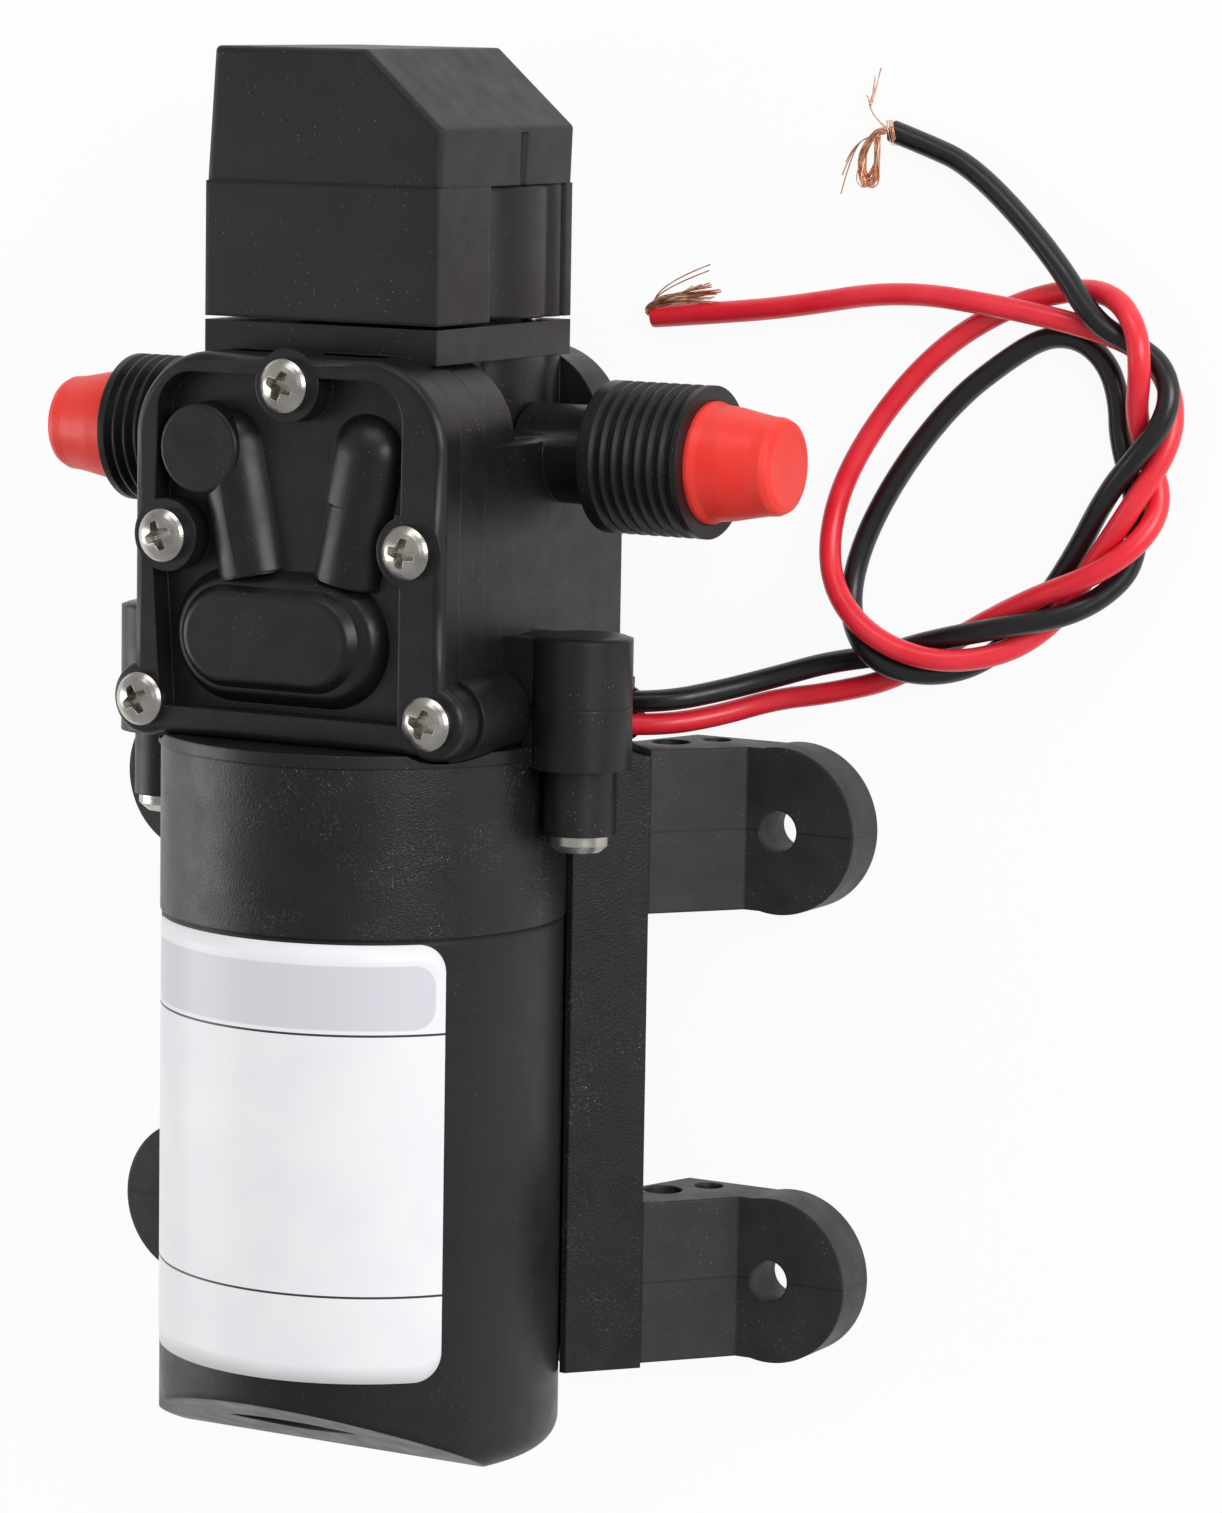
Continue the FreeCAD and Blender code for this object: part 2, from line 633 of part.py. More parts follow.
exit_top = below(size.grommet_drop - size.grommet_radius - 0.5)
head_cuts.append(block("exit_notch", (exit_low - 0.1, size.head_half_width + 1),
                       (below(size.head_bottom + 1), exit_top + 0.1),
                       (exit_rear - 1, exit_front + 0.1)))
NODES["pump_body"] = cut("pump_body", head_solid, head_cuts)

# Valve cover: a raised rim and ears round a sunk field, with the valve chamber, the round
# boss and the two V channels standing in it.
cover_half = size.head_half_width + size.cover_proud
cover_body, cover_planes = new_body("cover_block")
cover_outline = [(-cover_half, below(size.head_bottom)), (cover_half, below(size.head_bottom)),
                 (cover_half, above(size.head_top)), (-cover_half, above(size.head_top))]
pad_between(cover_body, cover_planes, "XY", lambda s: draw_polygon(s, cover_outline),
            head_front_z, cover_front_z)
round_edges(cover_body, size.head_corner,
            lambda e: along(e, AXIS_Z) and abs(e.BoundBox.YMax - upper_limit) < 0.01)
for side in SIDES:
    pad_between(cover_body, cover_planes, "XY",
                lambda s: draw_circle(s, (side * size.ear_x, below(size.ear_drop)), size.ear_radius),
                head_front_z, cover_front_z)
front_level = cover_front_z.value
round_edges(cover_body, size.cover_edge, lambda e: level(e, "z", front_level))
field_points = [
    (-size.recess_left + 0.6, below(size.recess_bottom)),
    (size.recess_right - 6.0, below(size.recess_bottom)),
    (size.recess_right - 1.0, below(size.recess_bottom - 5.5)),
    (size.recess_right - 0.3, below(size.chamber_drop - 1.5)),
    (size.recess_right - 3.2, below(size.channel_low_drop)),
    (size.recess_right, below(size.mid_screw_drop - 1.5)),
    (size.recess_right, above(size.recess_top - 6.5)),
    (size.recess_right - 4.5, above(size.recess_top)),
    (-size.recess_left + 6.5, above(size.recess_top)),
    (-size.recess_left, above(size.recess_top - 6.5)),
    (-size.recess_left - 0.6, below(size.channel_low_drop)),
]
pad_between(cover_body, cover_planes, "XY", lambda s: draw_polygon(s, field_points),
            field_z, cover_front_z + 1, cutting=True)
cover_adds = [cover_body]
for x, y in cover_screws[:3]:
    cover_adds.append(cylinder("screw_boss", size.screw_boss, size.cover_rim, (x, y, head_front_z)))
chamber_body, chamber_planes = new_body("chamber_form")
chamber_centre = (-size.chamber_x, below(size.chamber_drop))
chamber_foot = field_z - 0.4
chamber_height = cover_front_z - chamber_foot
chamber_pad = pad_between(chamber_body, chamber_planes, "XY",
                          lambda s: draw_stadium(s, chamber_centre, size.chamber_half,
                                                 size.chamber_radius + size.chamber_slope),
                          chamber_foot, cover_front_z)
chamber_pad.TaperAngle = -math.degrees(math.atan2(size.chamber_slope.value, chamber_height.value))
chamber_pad.setExpression("TaperAngle", "-atan(%s / %s)" % (size.chamber_slope.formula,
                                                            chamber_height.formula))
round_edges(chamber_body, size.chamber_edge, lambda e: level(e, "z", front_level))
cover_adds.append(chamber_body)
boss_body, boss_planes = new_body("round_boss_form")
pad_between(boss_body, boss_planes, "XY",
            lambda s: draw_circle(s, (-size.round_boss_x, above(size.round_boss_rise)),
                                  size.round_boss_radius), head_front_z, cover_front_z)
round_edges(boss_body, 0.5, lambda e: level(e, "z", front_level))
cover_adds.append(boss_body)
channel_z = cover_front_z - size.channel_radius
channel_run = Vector((size.riser_x - size.channel_low_x).value,
                     (size.riser_rise + size.channel_low_drop).value, 0)


def channel(name, radius, height, side):
    """A round bar along one arm of the V, with a round upper end."""
    turn = Rotation(AXIS_Z, Vector(side * channel_run.x, channel_run.y, 0))
    bar = cylinder(name + "_bar", radius, channel_run.Length,
                   (side * size.channel_low_x, below(size.channel_low_drop), height), turn)
    return [bar, ball(name + "_end", radius, (side * size.riser_x, above(size.riser_rise), height))]


channel_forms = []
for side in SIDES:
    channel_forms += channel("channel", size.channel_radius, channel_z, side)
channel_room = block("channel_room", (-cover_half, cover_half),
                     (below(size.head_bottom), above(size.head_top)), (head_front_z, cover_front_z + 1))
cover_adds.append(common("channel_ridges", fuse("channel_bars", channel_forms), channel_room))
cover_solid = fuse("cover_solid", cover_adds)
cover_cuts = []
for side in SIDES:
    cover_cuts += channel("channel_groove", size.channel_bore, head_front_z, side)
chamber_wall = 1.0
chamber_low = below(size.chamber_drop + size.chamber_radius - 1.2)
chamber_high = below(size.chamber_drop - size.chamber_radius + 1.2)
chamber_rooms = []
for low, high in ((-size.chamber_x - size.chamber_half - 3.2, -size.chamber_x - chamber_wall),
                  (-size.chamber_x + chamber_wall, -size.chamber_x + size.chamber_half + 3.2)):
    room = block("chamber_room", (low, high), (chamber_low, chamber_high),
                 (head_front_z - 1, cover_front_z - 1.8))
    chamber_rooms.append(room)
cover_cuts += chamber_rooms
for x, y in cover_screws:
    cover_cuts.append(cylinder("cover_hole", screw_hole, size.cover_rim + 2, (x, y, head_front_z - 1)))
NODES["valve_cover"] = cut("valve_cover", cover_solid, cover_cuts)

screws = []
for x, y in cover_screws:
    shank = cylinder("shank", size.screw_radius, size.screw_depth + size.cover_rim - 0.5,
                     (x, y, head_front_z - size.screw_depth + 0.5))
    head_body_, head_planes_ = new_body("pan_head")
    pad_between(head_body_, head_planes_, "XY",
                lambda s: draw_circle(s, (x, y), size.screw_head_radius),
                cover_front_z, cover_front_z + size.screw_head_height)
    top = (cover_front_z + size.screw_head_height).value
    round_edges(head_body_, size.screw_head_height * 0.5, lambda e: level(e, "z", top))
    screws.append(fuse("cover_screw", [shank, head_body_]))
NODES["cover_screws"] = group("cover_screws", screws)

# Valve plate between diaphragm and cover: the pump chamber on its rear side, one hole with a
# rubber disc valve for each direction.
plate_top_z = head_front_z - size.gasket_thickness
plate_blank = cylinder("plate_blank", size.diaphragm_radius, plate_top_z - rim_top_z,
                       (0, diaphragm_y, rim_top_z))
web_low_z = plate_top_z - size.valve_web
inlet_at = (-size.inlet_valve_x, below(size.valve_drop))
outlet_at = (size.outlet_valve_x, below(size.valve_drop))
plate_cuts = [cylinder("pump_chamber", size.ledge_opening, web_low_z - rim_top_z + 1,
                       (0, diaphragm_y, rim_top_z - 1))]
for x, y in (inlet_at, outlet_at):
    plate_cuts.append(cylinder("stem_hole", size.stem_radius + size.running_gap, size.valve_web + 2,
                               (x, y, web_low_z - 1)))
    for step in range(3):
        angle = math.radians(90 + 120 * step)
        plate_cuts.append(cylinder("flow_hole", 0.6, size.valve_web + 2,
                                   (x + 1.7 * math.cos(angle), y + 1.7 * math.sin(angle),
                                    web_low_z - 1)))
NODES["valve_plate"] = cut("valve_plate", plate_blank, plate_cuts)
gasket_blank = cylinder("gasket_blank", size.diaphragm_radius, size.gasket_thickness,
                        (0, diaphragm_y, plate_top_z))
gasket_cuts = [block("gasket_window", (-size.chamber_x - 8.0, -size.chamber_x - 0.8),
                     (chamber_low, chamber_high), (plate_top_z - 1, head_front_z + 1)),
               block("gasket_window", (-size.chamber_x + 0.8, -size.chamber_x + 9.4),
                     (chamber_low, chamber_high), (plate_top_z - 1, head_front_z + 1))]
NODES["cover_gasket"] = cut("cover_gasket", gasket_blank, gasket_cuts)
for name, (x, y), face, direction in (("inlet_valve", inlet_at, web_low_z, -1),
                                      ("outlet_valve", outlet_at, plate_top_z, 1)):
    disc = cylinder(name + "_disc", size.valve_radius, size.valve_disc,
                    (x, y, face if direction > 0 else face - size.valve_disc))
    stem = cylinder(name + "_stem", size.stem_radius, size.valve_web,
                    (x, y, face - size.valve_web if direction > 0 else face))
    NODES[name] = fuse(name, [disc, stem])

# Diaphragm: a flat rim held under the valve plate, and a middle that hangs lower by the
# throw, where the rod's plate and the washer hold it.
middle_z = ledge_z - size.throw
NODES["diaphragm"] = turned("diaphragm", [
    (size.column_screw, middle_z), (size.plate_radius, middle_z),
    (size.ledge_opening - 1.2, ledge_z), (size.diaphragm_radius, ledge_z),
    (size.diaphragm_radius, rim_top_z), (size.ledge_opening - 1.6, rim_top_z),
    (size.plate_radius - 0.5, middle_z + size.diaphragm_skin),
    (size.column_screw, middle_z + size.diaphragm_skin)], (0, diaphragm_y, 0))

# Crank drive. The eccentric stands towards the rear at rest, so the rod is at its lowest.
crank_z = axis - size.throw
ring_inner = size.hub_radius
ring_mid = ring_inner + size.race
outer_in = ring_mid + 2 * size.ball_radius
outer_out = outer_in + size.race
rod_out = outer_out + size.rod_ring
rod_low_y = diaphragm_y - size.rod_width / 2
race_width = size.rod_width - 1.0
race_low_y = diaphragm_y - race_width / 2
hub_low_y = diaphragm_y - size.hub_length / 2
hub = cylinder("hub", size.hub_radius, size.hub_length, (0, hub_low_y, crank_z), TO_SWITCH)
weight_y = hub_low_y - size.weight_gap
weight = common("counterweight",
                cylinder("weight_disc", size.weight_radius, size.weight_height, (0, weight_y, axis), TO_MOTOR),
                block("weight_half", (-size.weight_radius - 1, size.weight_radius + 1),
                      (weight_y - size.weight_height, weight_y), (axis - 2.0, axis + size.weight_radius + 1)))
collar = cylinder("eccentric_collar", size.shaft_radius + 1.1, size.weight_gap + size.weight_height,
                  (0, hub_low_y, axis), TO_MOTOR)
NODES["eccentric"] = cut("eccentric", fuse("eccentric_solid", [hub, weight, collar]),
                         [cylinder("eccentric_bore", size.shaft_radius,
                                   size.hub_length + size.weight_gap + size.weight_height + 2,
                                   (0, weight_y - size.weight_height - 1, axis), TO_SWITCH)])
NODES["rod_bearing_inner"] = tube("rod_bearing_inner", ring_mid, ring_inner, race_width,
                                  (0, race_low_y, crank_z), TO_SWITCH)
balls = []
ball_circle = ring_mid + size.ball_radius
for step in range(9):
    angle = 2 * math.pi * step / 9
    balls.append(ball("bearing_ball", size.ball_radius - size.running_gap,
                      (ball_circle * math.sin(angle), diaphragm_y, crank_z + ball_circle * math.cos(angle))))
NODES["rod_bearing_balls"] = group("rod_bearing_balls", balls)
NODES["rod_bearing_outer"] = tube("rod_bearing_outer", outer_out, outer_in, race_width,
                                  (0, race_low_y, crank_z), TO_SWITCH)
rod_plate_z = middle_z - 1.1
rod_solid = fuse("rod_solid", [
    cylinder("rod_eye", rod_out, size.rod_width, (0, rod_low_y, crank_z), TO_SWITCH),
    cylinder("rod_plate", size.plate_radius, 1.1, (0, diaphragm_y, rod_plate_z)),
    cylinder("rod_neck", size.rod_width / 2 - 0.2, rod_plate_z - crank_z + 0.5,
             (0, diaphragm_y, crank_z))])
NODES["connecting_rod"] = cut("connecting_rod", rod_solid, [
    cylinder("rod_bore", outer_out, size.rod_width + 2, (0, rod_low_y - 1, crank_z), TO_SWITCH),
    cylinder("rod_screw_hole", size.column_screw, size.crank_radius * 2, (0, diaphragm_y, crank_z))])
washer_z = middle_z + size.diaphragm_skin
NODES["clamp_washer"] = turned("clamp_washer", [
    (size.column_screw, washer_z), (size.washer_radius, washer_z),
    (size.washer_radius, washer_z + size.washer_height * 0.5),
    (size.washer_radius - 0.6, washer_z + size.washer_height),
    (size.column_screw + 0.9, washer_z + size.washer_height),
    (size.column_screw, washer_z + size.washer_height - 0.9)], (0, diaphragm_y, 0))
clamp_foot = crank_z + outer_out + 0.1
clamp_top = washer_z + size.washer_height
NODES["clamp_screw"] = turned("clamp_screw", [
    (0, clamp_foot), (size.column_screw, clamp_foot), (size.column_screw, clamp_top - 0.9),
    (size.column_screw + 0.9, clamp_top), (0, clamp_top)], (0, diaphragm_y, 0))

# Motor housing end: a flange on the head, the lower lugs with their screw towers, and the
# corner that the wires leave through.
flange_y = below(size.head_bottom)
collar_y = flange_y - size.flange_thickness
housing_adds = [cylinder("flange", flange_radius, size.flange_thickness, (0, flange_y, axis), TO_MOTOR)]
for side in SIDES:
    low, high = sorted((side * (size.head_half_width + 0.2), side * lug_x), key=lambda v: v.value)
    housing_adds += [
        cylinder("lower_lug", size.lug_radius, size.lug_foot - size.lug_seam,
                 (side * lug_x, seam_y, lug_z), TO_MOTOR),
        block("lower_web", (low, high), (below(size.lug_foot), seam_y),
              (lug_z - size.web_thickness / 2, lug_z + size.web_thickness / 2)),
        cylinder("tower", size.tower_radius, size.tower_end - size.lug_foot + 1,
                 (side * lug_x, below(size.lug_foot - 1), lug_z), TO_MOTOR)]
housing_adds.append(block("exit_corner", (exit_low, exit_high), (collar_y, exit_top),
                          (exit_rear, exit_front)))
housing_cuts = [cylinder("shaft_opening", size.end_bearing_radius + 0.5, size.flange_thickness + 2,
                         (0, flange_y + 1, axis), TO_MOTOR),
                cylinder("grommet_hole", size.grommet_radius - 0.6, 12,
                         (size.grommet_x, below(size.grommet_drop), behind(size.grommet_behind)),
                         TO_RIGHT),
                cylinder("collar_room", collar_radius + 0.05, size.tower_end,
                         (0, collar_y, axis), TO_MOTOR)]
for side in SIDES:
    housing_cuts.append(cylinder("ear_room", size.ear_radius + 0.6 + size.screw_gap, axis,
                                 (side * size.ear_x, below(size.ear_drop),
                                  head_front_z - size.ear_depth - size.screw_gap)))
    housing_cuts.append(cylinder("tower_hole", long_hole, size.tower_end,
                                 (side * lug_x, seam_y + 1, lug_z), TO_MOTOR))
NODES["motor_housing"] = cut("motor_housing", fuse("housing_solid", housing_adds), housing_cuts)
long_screws = []
for side in SIDES:
    at = (side * lug_x, below(size.tower_end), lug_z)
    head = turned("long_screw_head", [
        (0, 0), (size.long_head_radius, 0), (size.long_head_radius, size.long_head_height * 0.55),
        (size.long_head_radius - 1.2, size.long_head_height), (0, size.long_head_height)], at, TO_MOTOR)
    shank = cylinder("long_shank", size.long_screw_radius, size.tower_end - size.lug_top - 0.5, at, TO_SWITCH)
    long_screws.append(fuse("long_screw", [head, shank]))
NODES["tower_screws"] = group("tower_screws", long_screws)

# Grommet with the two wires through it.
wire_radius = size.wire_diameter / 2
grommet_y = below(size.grommet_drop)
grommet_z = behind(size.grommet_behind)
wire_starts = {"black_wire": (size.grommet_end - size.wire_seat, grommet_y + size.wire_pitch / 2, grommet_z),
               "red_wire": (size.grommet_end - size.wire_seat, grommet_y - size.wire_pitch / 2, grommet_z)}
grommet_solid = fuse("grommet_solid", [
    cylinder("grommet_sleeve", size.grommet_radius - 0.6, exit_high - size.grommet_x,
             (size.grommet_x, grommet_y, grommet_z), TO_RIGHT),
    turned("grommet_lip", [(0, 0), (size.grommet_radius, 0), (size.grommet_radius, 1.2),
                           (size.grommet_radius - 0.5, 2.2), (0, 2.2)],
           (exit_high, grommet_y, grommet_z), TO_RIGHT)])

# Motor: a textured collar, then a plain shell whose end has an oblique facet with a lens slot.
collar_end_y = collar_y - size.collar_length
shell_inner = size.shell_radius - size.shell_wall
NODES["motor_collar"] = tube("motor_collar", collar_radius, shell_inner, size.collar_length,
                             (0, collar_y, axis), TO_MOTOR)
shell_end_y = below(size.shell_end)
facet_top_z = before(size.shell_radius)
facet_slope = math.atan2(size.facet_rise.value, (size.shell_radius - size.facet_foot).value)


def shell_form(name, radius, end_y, inset, rounding):
    """A round bar that the oblique facet cuts at its front lower edge."""
    body, planes = new_body(name)
    sketch = sketch_in(body, planes, "XZ_Plane", -end_y)
    draw_circle(sketch, (0, axis), radius)
    pad = body.newObject("PartDesign::Pad", name + "_pad")
    pad.Profile = sketch
    bind(pad, "Length", collar_end_y - end_y)
    pad.Reversed = True
    body.Tip = pad
    if rounding is not None:
        limit = as_size(end_y).value
        round_edges(body, rounding, lambda e: level(e, "y", limit))
    reach = size.shell_radius + 5
    slope = size.facet_rise / (size.shell_radius - size.facet_foot)
    foot_z = before(size.facet_foot) - reach
    points = [(shell_end_y + inset - reach * slope, foot_z),
              (shell_end_y + inset + (reach - size.facet_foot) * slope, axis + reach),
              (shell_end_y - reach * 2, axis + reach), (shell_end_y - reach * 2, foot_z)]
    sketch = sketch_in(body, planes, "YZ_Plane", -reach)
    draw_polygon(sketch, points)
    pocket = body.newObject("PartDesign::Pocket", name + "_facet")
    pocket.Profile = sketch
    bind(pocket, "Length", reach * 2)
    pocket.Reversed = True
    body.Tip = pocket
    return body


facet_inset = size.shell_wall / math.cos(facet_slope)
shell_outer = shell_form("shell_outer", size.shell_radius, shell_end_y, as_size(0), size.shell_rounding)
shell_room = shell_form("shell_room", shell_inner, shell_end_y + size.shell_wall, facet_inset, None)
slot_radius = (size.slot_length * size.slot_length / 4 + size.slot_width * size.slot_width / 4) / size.slot_width
slot_shift = slot_radius - size.slot_width / 2
facet_mid_y = shell_end_y + size.facet_rise / 2
facet_mid_z = before((size.shell_radius + size.facet_foot) / 2)
slot_along = Vector(0, math.sin(facet_slope), math.cos(facet_slope))
slot_out = Vector(0, -math.cos(facet_slope), math.sin(facet_slope))
slot_turn = Rotation(AXIS_Z, slot_out)
slot_bars = []
for side in SIDES:
    slot_bars.append(cylinder("slot_bar", slot_radius, 12, (
        0, facet_mid_y + side * slot_shift * slot_along.y - 6 * slot_out.y,
        facet_mid_z + side * slot_shift * slot_along.z - 6 * slot_out.z), slot_turn))
NODES["motor_shell"] = cut("motor_shell", shell_outer,
                           [shell_room, common("slot_lens", slot_bars[0], slot_bars[1])])

# Inside the motor: steel can, two magnets, and the rotor on its two bearings.
can_radius = shell_inner - size.can_gap
can_inner = can_radius - size.can_wall
can_top = collar_y - 0.6
can_end = can_top - size.can_length
NODES["motor_can"] = cut("motor_can", cylinder("can_outer", can_radius, size.can_length,
                                               (0, can_top, axis), TO_MOTOR),
                         [cylinder("can_room", can_inner, size.can_length, (0, can_top + size.can_wall, axis),
                                   TO_MOTOR),
                          cylinder("can_bearing_seat", size.end_bearing_radius, size.can_wall * 4,
                                   (0, can_end - 1, axis), TO_SWITCH)])
core_y = can_top - size.core_below
magnet_y = core_y + (size.magnet_length - size.core_length) / 2
magnet_ring = tube("magnet_ring", can_inner, can_inner - size.magnet_thickness, size.magnet_length,
                   (0, magnet_y, axis), TO_MOTOR)
magnets = []
for side in SIDES:
    low, high = sorted((side * size.magnet_part, side * can_radius), key=lambda v: v.value)
    magnets.append(common("magnet", magnet_ring, block(
        "magnet_half", (low, high), (magnet_y - size.magnet_length - 1, magnet_y + 1),
        (axis - can_radius, axis + can_radius))))
NODES["magnets"] = group("magnets", magnets)
core_radius = can_inner - size.magnet_thickness - size.air_gap
core_body, core_planes = new_body("core_form")
pad_between(core_body, core_planes, "XY", lambda s: draw_circle(s, (0, 0), core_radius), 0, size.core_length)
slot_points = [(-1.0, core_radius - 2.2), (1.0, core_radius - 2.2), (1.0, core_radius + 1), (-1.0, core_radius + 1)]
pad_between(core_body, core_planes, "XY", lambda s: draw_polygon(s, slot_points), -1, size.core_length + 1, cutting=True)
slot_feature = core_body.Tip
trough = [(-2.0, core_radius * 0.55), (2.0, core_radius * 0.55), (3.4, core_radius - 2.6), (-3.4, core_radius - 2.6)]
pad_between(core_body, core_planes, "XY", lambda s: draw_polygon(s, trough), -1, size.core_length + 1, cutting=True)
trough_feature = core_body.Tip
doc.recompute()
core_pattern = core_body.newObject("PartDesign::PolarPattern", "core_slots")
core_pattern.Originals = [slot_feature, trough_feature]
core_pattern.Axis = (core_planes["Z_Axis"], [""])
core_pattern.Angle = 360
bind(core_pattern, "Occurrences", size.core_slots)
core_body.Tip = core_pattern
put(core_body, (0, core_y, axis), TO_MOTOR)
NODES["armature_core"] = cut("armature_core", core_body, [
    cylinder("core_bore", size.shaft_radius, size.core_length + 2, (0, core_y + 1, axis), TO_MOTOR)])
coil_in = core_radius * 0.45
coil_out = core_radius * 0.82
coils = []
for start in (core_y + 5.4, core_y - size.core_length - 0.4):
    coils.append(turned("end_turns", [(coil_in, 0), (coil_out, 0), (coil_out + 1.0, 2.5), (coil_out, 5.0),
                                      (coil_in, 5.0)], (0, start, axis), TO_MOTOR))
NODES["windings"] = group("windings", coils)
commutator_y = below(size.commutator_drop)
NODES["commutator"] = tube("commutator", size.commutator_radius, size.shaft_radius, size.commutator_length,
                           (0, commutator_y, axis), TO_MOTOR)
shaft_top = below(size.crank_top - size.end_bearing_width)
shaft_end = can_end - 2.0
NODES["rotor_shaft"] = cylinder("rotor_shaft", size.shaft_radius, shaft_top - shaft_end,
                                (0, shaft_top, axis), TO_MOTOR)
bearing_seats = (("upper_bearing", below(size.crank_top - size.end_bearing_width)),
                 ("front_bearing", flange_y + 1.1),
                 ("rear_bearing", can_end + size.end_bearing_width + 0.2))
for name, start in bearing_seats:
    NODES[name] = tube(name, size.end_bearing_radius, size.shaft_radius + size.running_gap,
                       size.end_bearing_width, (0, start, axis), TO_MOTOR)

# End bell with the brush gear, at the motor's upper end.
bell_y = can_top - 1.6
bell_solid = cylinder("bell_disc", can_inner - 0.1, 3.0, (0, bell_y, axis), TO_MOTOR)
brush_y = commutator_y - size.commutator_length / 2
brush_half = size.brush_width / 2
brush_side = size.brush_thickness / 2
holder_adds = [bell_solid]
holder_cuts = [cylinder("bell_bore", size.end_bearing_radius + 0.3, 6, (0, bell_y + 1, axis), TO_MOTOR)]
brushes = []
brush_springs = []
brush_gap = size.running_gap * 2
for side in SIDES:
    start = size.commutator_radius + brush_gap
    end = start + size.brush_length
    outer_end = can_inner - 1.0
    low, high = sorted((side * (start + 1.2), side * outer_end), key=lambda v: v.value)
    holder_adds.append(block("brush_box", (low, high),
                             (brush_y - brush_half - 1.2, bell_y - 1), (axis - brush_side - 1.2, axis + brush_side + 1.2)))
    low, high = sorted((side * start, side * (outer_end - 1.2)), key=lambda v: v.value)
    holder_cuts.append(block("brush_room", (low, high),
                             (brush_y - brush_half - brush_gap, brush_y + brush_half + brush_gap),
                             (axis - brush_side - brush_gap, axis + brush_side + brush_gap)))
    low, high = sorted((side * start, side * end), key=lambda v: v.value)
    brushes.append(block("brush", (low, high), (brush_y - brush_half, brush_y + brush_half),
                         (axis - brush_side, axis + brush_side)))
    turn = TO_RIGHT if side > 0 else TO_LEFT
    brush_springs.append(tube("brush_spring", brush_half - 0.3, brush_half - 0.9,
                              outer_end - 1.2 - end, (side * end, brush_y, axis), turn))
NODES["end_bell"] = cut("end_bell", fuse("bell_fused", holder_adds), holder_cuts)
NODES["brushes"] = group("brushes", brushes)
NODES["brush_springs"] = group("brush_springs", brush_springs)

# Base bracket: a saddle under the motor with sloping sides that run down to the feet.
saddle = [
    (size.bracket_shoulder_x, behind(size.bracket_shoulder_behind)),
    (size.bracket_rim_x, behind(size.bracket_rim_behind)),
]
slope_run = Vector((size.bracket_rim_x - size.bracket_shoulder_x).value, 0,
                   (size.bracket_shoulder_behind - size.bracket_rim_behind).value)
slope_run.normalize()
slope_in = Vector(slope_run.z, 0, -slope_run.x)
leg_x = size.bracket_rim_x + size.leg_thickness * slope_in.x
leg_z = behind(size.bracket_rim_behind) + size.leg_thickness * slope_in.z
bracket_floor_z = behind(size.bracket_floor)
half_profile = saddle + [(leg_x, leg_z), (leg_x - 2.0, bracket_floor_z)]
bracket_profile = half_profile + [(-x, z) for x, z in reversed(half_profile)]
bracket_high = below(size.bracket_top)
bracket_low = bracket_high - size.bracket_length
bracket_form = prism("bracket_form", "XZ", bracket_profile, bracket_low, bracket_high)
bracket_cuts = [cylinder("motor_seat", collar_radius + 0.05, size.bracket_length + 2,
                         (0, bracket_high + 1, axis), TO_MOTOR)]
feet = {}
rim_z = behind(size.bracket_rim_behind)
pad_top_z = size.foot_pad_thickness
tongue_mid_x = size.bracket_rim_x + size.leg_thickness / 2 * slope_in.x
tongue_mid_z = rim_z + size.leg_thickness / 2 * slope_in.z


def tongue(name, side, y_low, y_high, slack):
    """The tongue of a foot, lying along the slope inside the bracket."""
    half = size.tongue_thickness / 2 + slack
    reach = size.tongue_length + slack
    corners = []
    for step, across in ((-reach, -half), (-reach, half), (as_size(2.0), half), (as_size(2.0), -half)):
        corners.append((side * (tongue_mid_x + step * slope_run.x + across * slope_in.x),
                        tongue_mid_z + step * slope_run.z + across * slope_in.z))
    return prism(name, "XZ", corners, y_low - slack, y_high + slack)


for side, side_name in ((-1, "left"), (1, "right")):
    for end, end_name in ((1, "upper"), (-1, "lower")):
        foot_y = end * size.foot_y
        half = size.foot_width / 2
        leg = [(side * size.bracket_rim_x, rim_z), (side * size.foot_step_x, pad_top_z),
               (side * (size.foot_x + size.foot_pad_radius), pad_top_z),
               (side * (size.foot_x + size.foot_pad_radius), 0), (side * size.foot_inner_x, 0),
               (side * leg_x, leg_z)]
        name = "foot_%s_%s" % (end_name, side_name)
        section = prism(name + "_section", "XZ", leg, foot_y - size.foot_pad_radius, foot_y + size.foot_pad_radius)
        plan_x = (side * (size.foot_inner_x - 12), side * size.foot_x)
        low, high = sorted(plan_x, key=lambda v: v.value)
        plan = fuse(name + "_plan", [
            block("leg_plan", (low, high), (foot_y - half, foot_y + half), (0, axis)),
            cylinder("pad_plan", size.foot_pad_radius, axis, (side * size.foot_x, foot_y, 0))])
        blank = common(name + "_blank", section, plan)
        whole = fuse(name + "_whole", [blank, tongue(name + "_tongue", side, foot_y - half + 2, foot_y + half - 2,
                                                     as_size(0))])
        bracket_cuts.append(tongue(name + "_socket", side, foot_y - half + 2, foot_y + half - 2, as_size(0.1)))
        holes = [cylinder("foot_bore", size.foot_hole, size.foot_pad_thickness + 2, (side * size.foot_x, foot_y, -1)),
                 cylinder("relief_bore", 2.8, size.foot_pad_radius * 2 + 2,
                          (side * (size.foot_inner_x + 0.8), foot_y - size.foot_pad_radius - 1, 9.3), TO_SWITCH),
                 cylinder("relief_bore", 2.1, size.foot_pad_radius * 2 + 2,
                          (side * (size.foot_inner_x + 5.0), foot_y - size.foot_pad_radius - 1, 3.4), TO_SWITCH)]
        NODES[name] = cut(name, whole, holes)
NODES["base_bracket"] = cut("base_bracket", bracket_form, bracket_cuts)

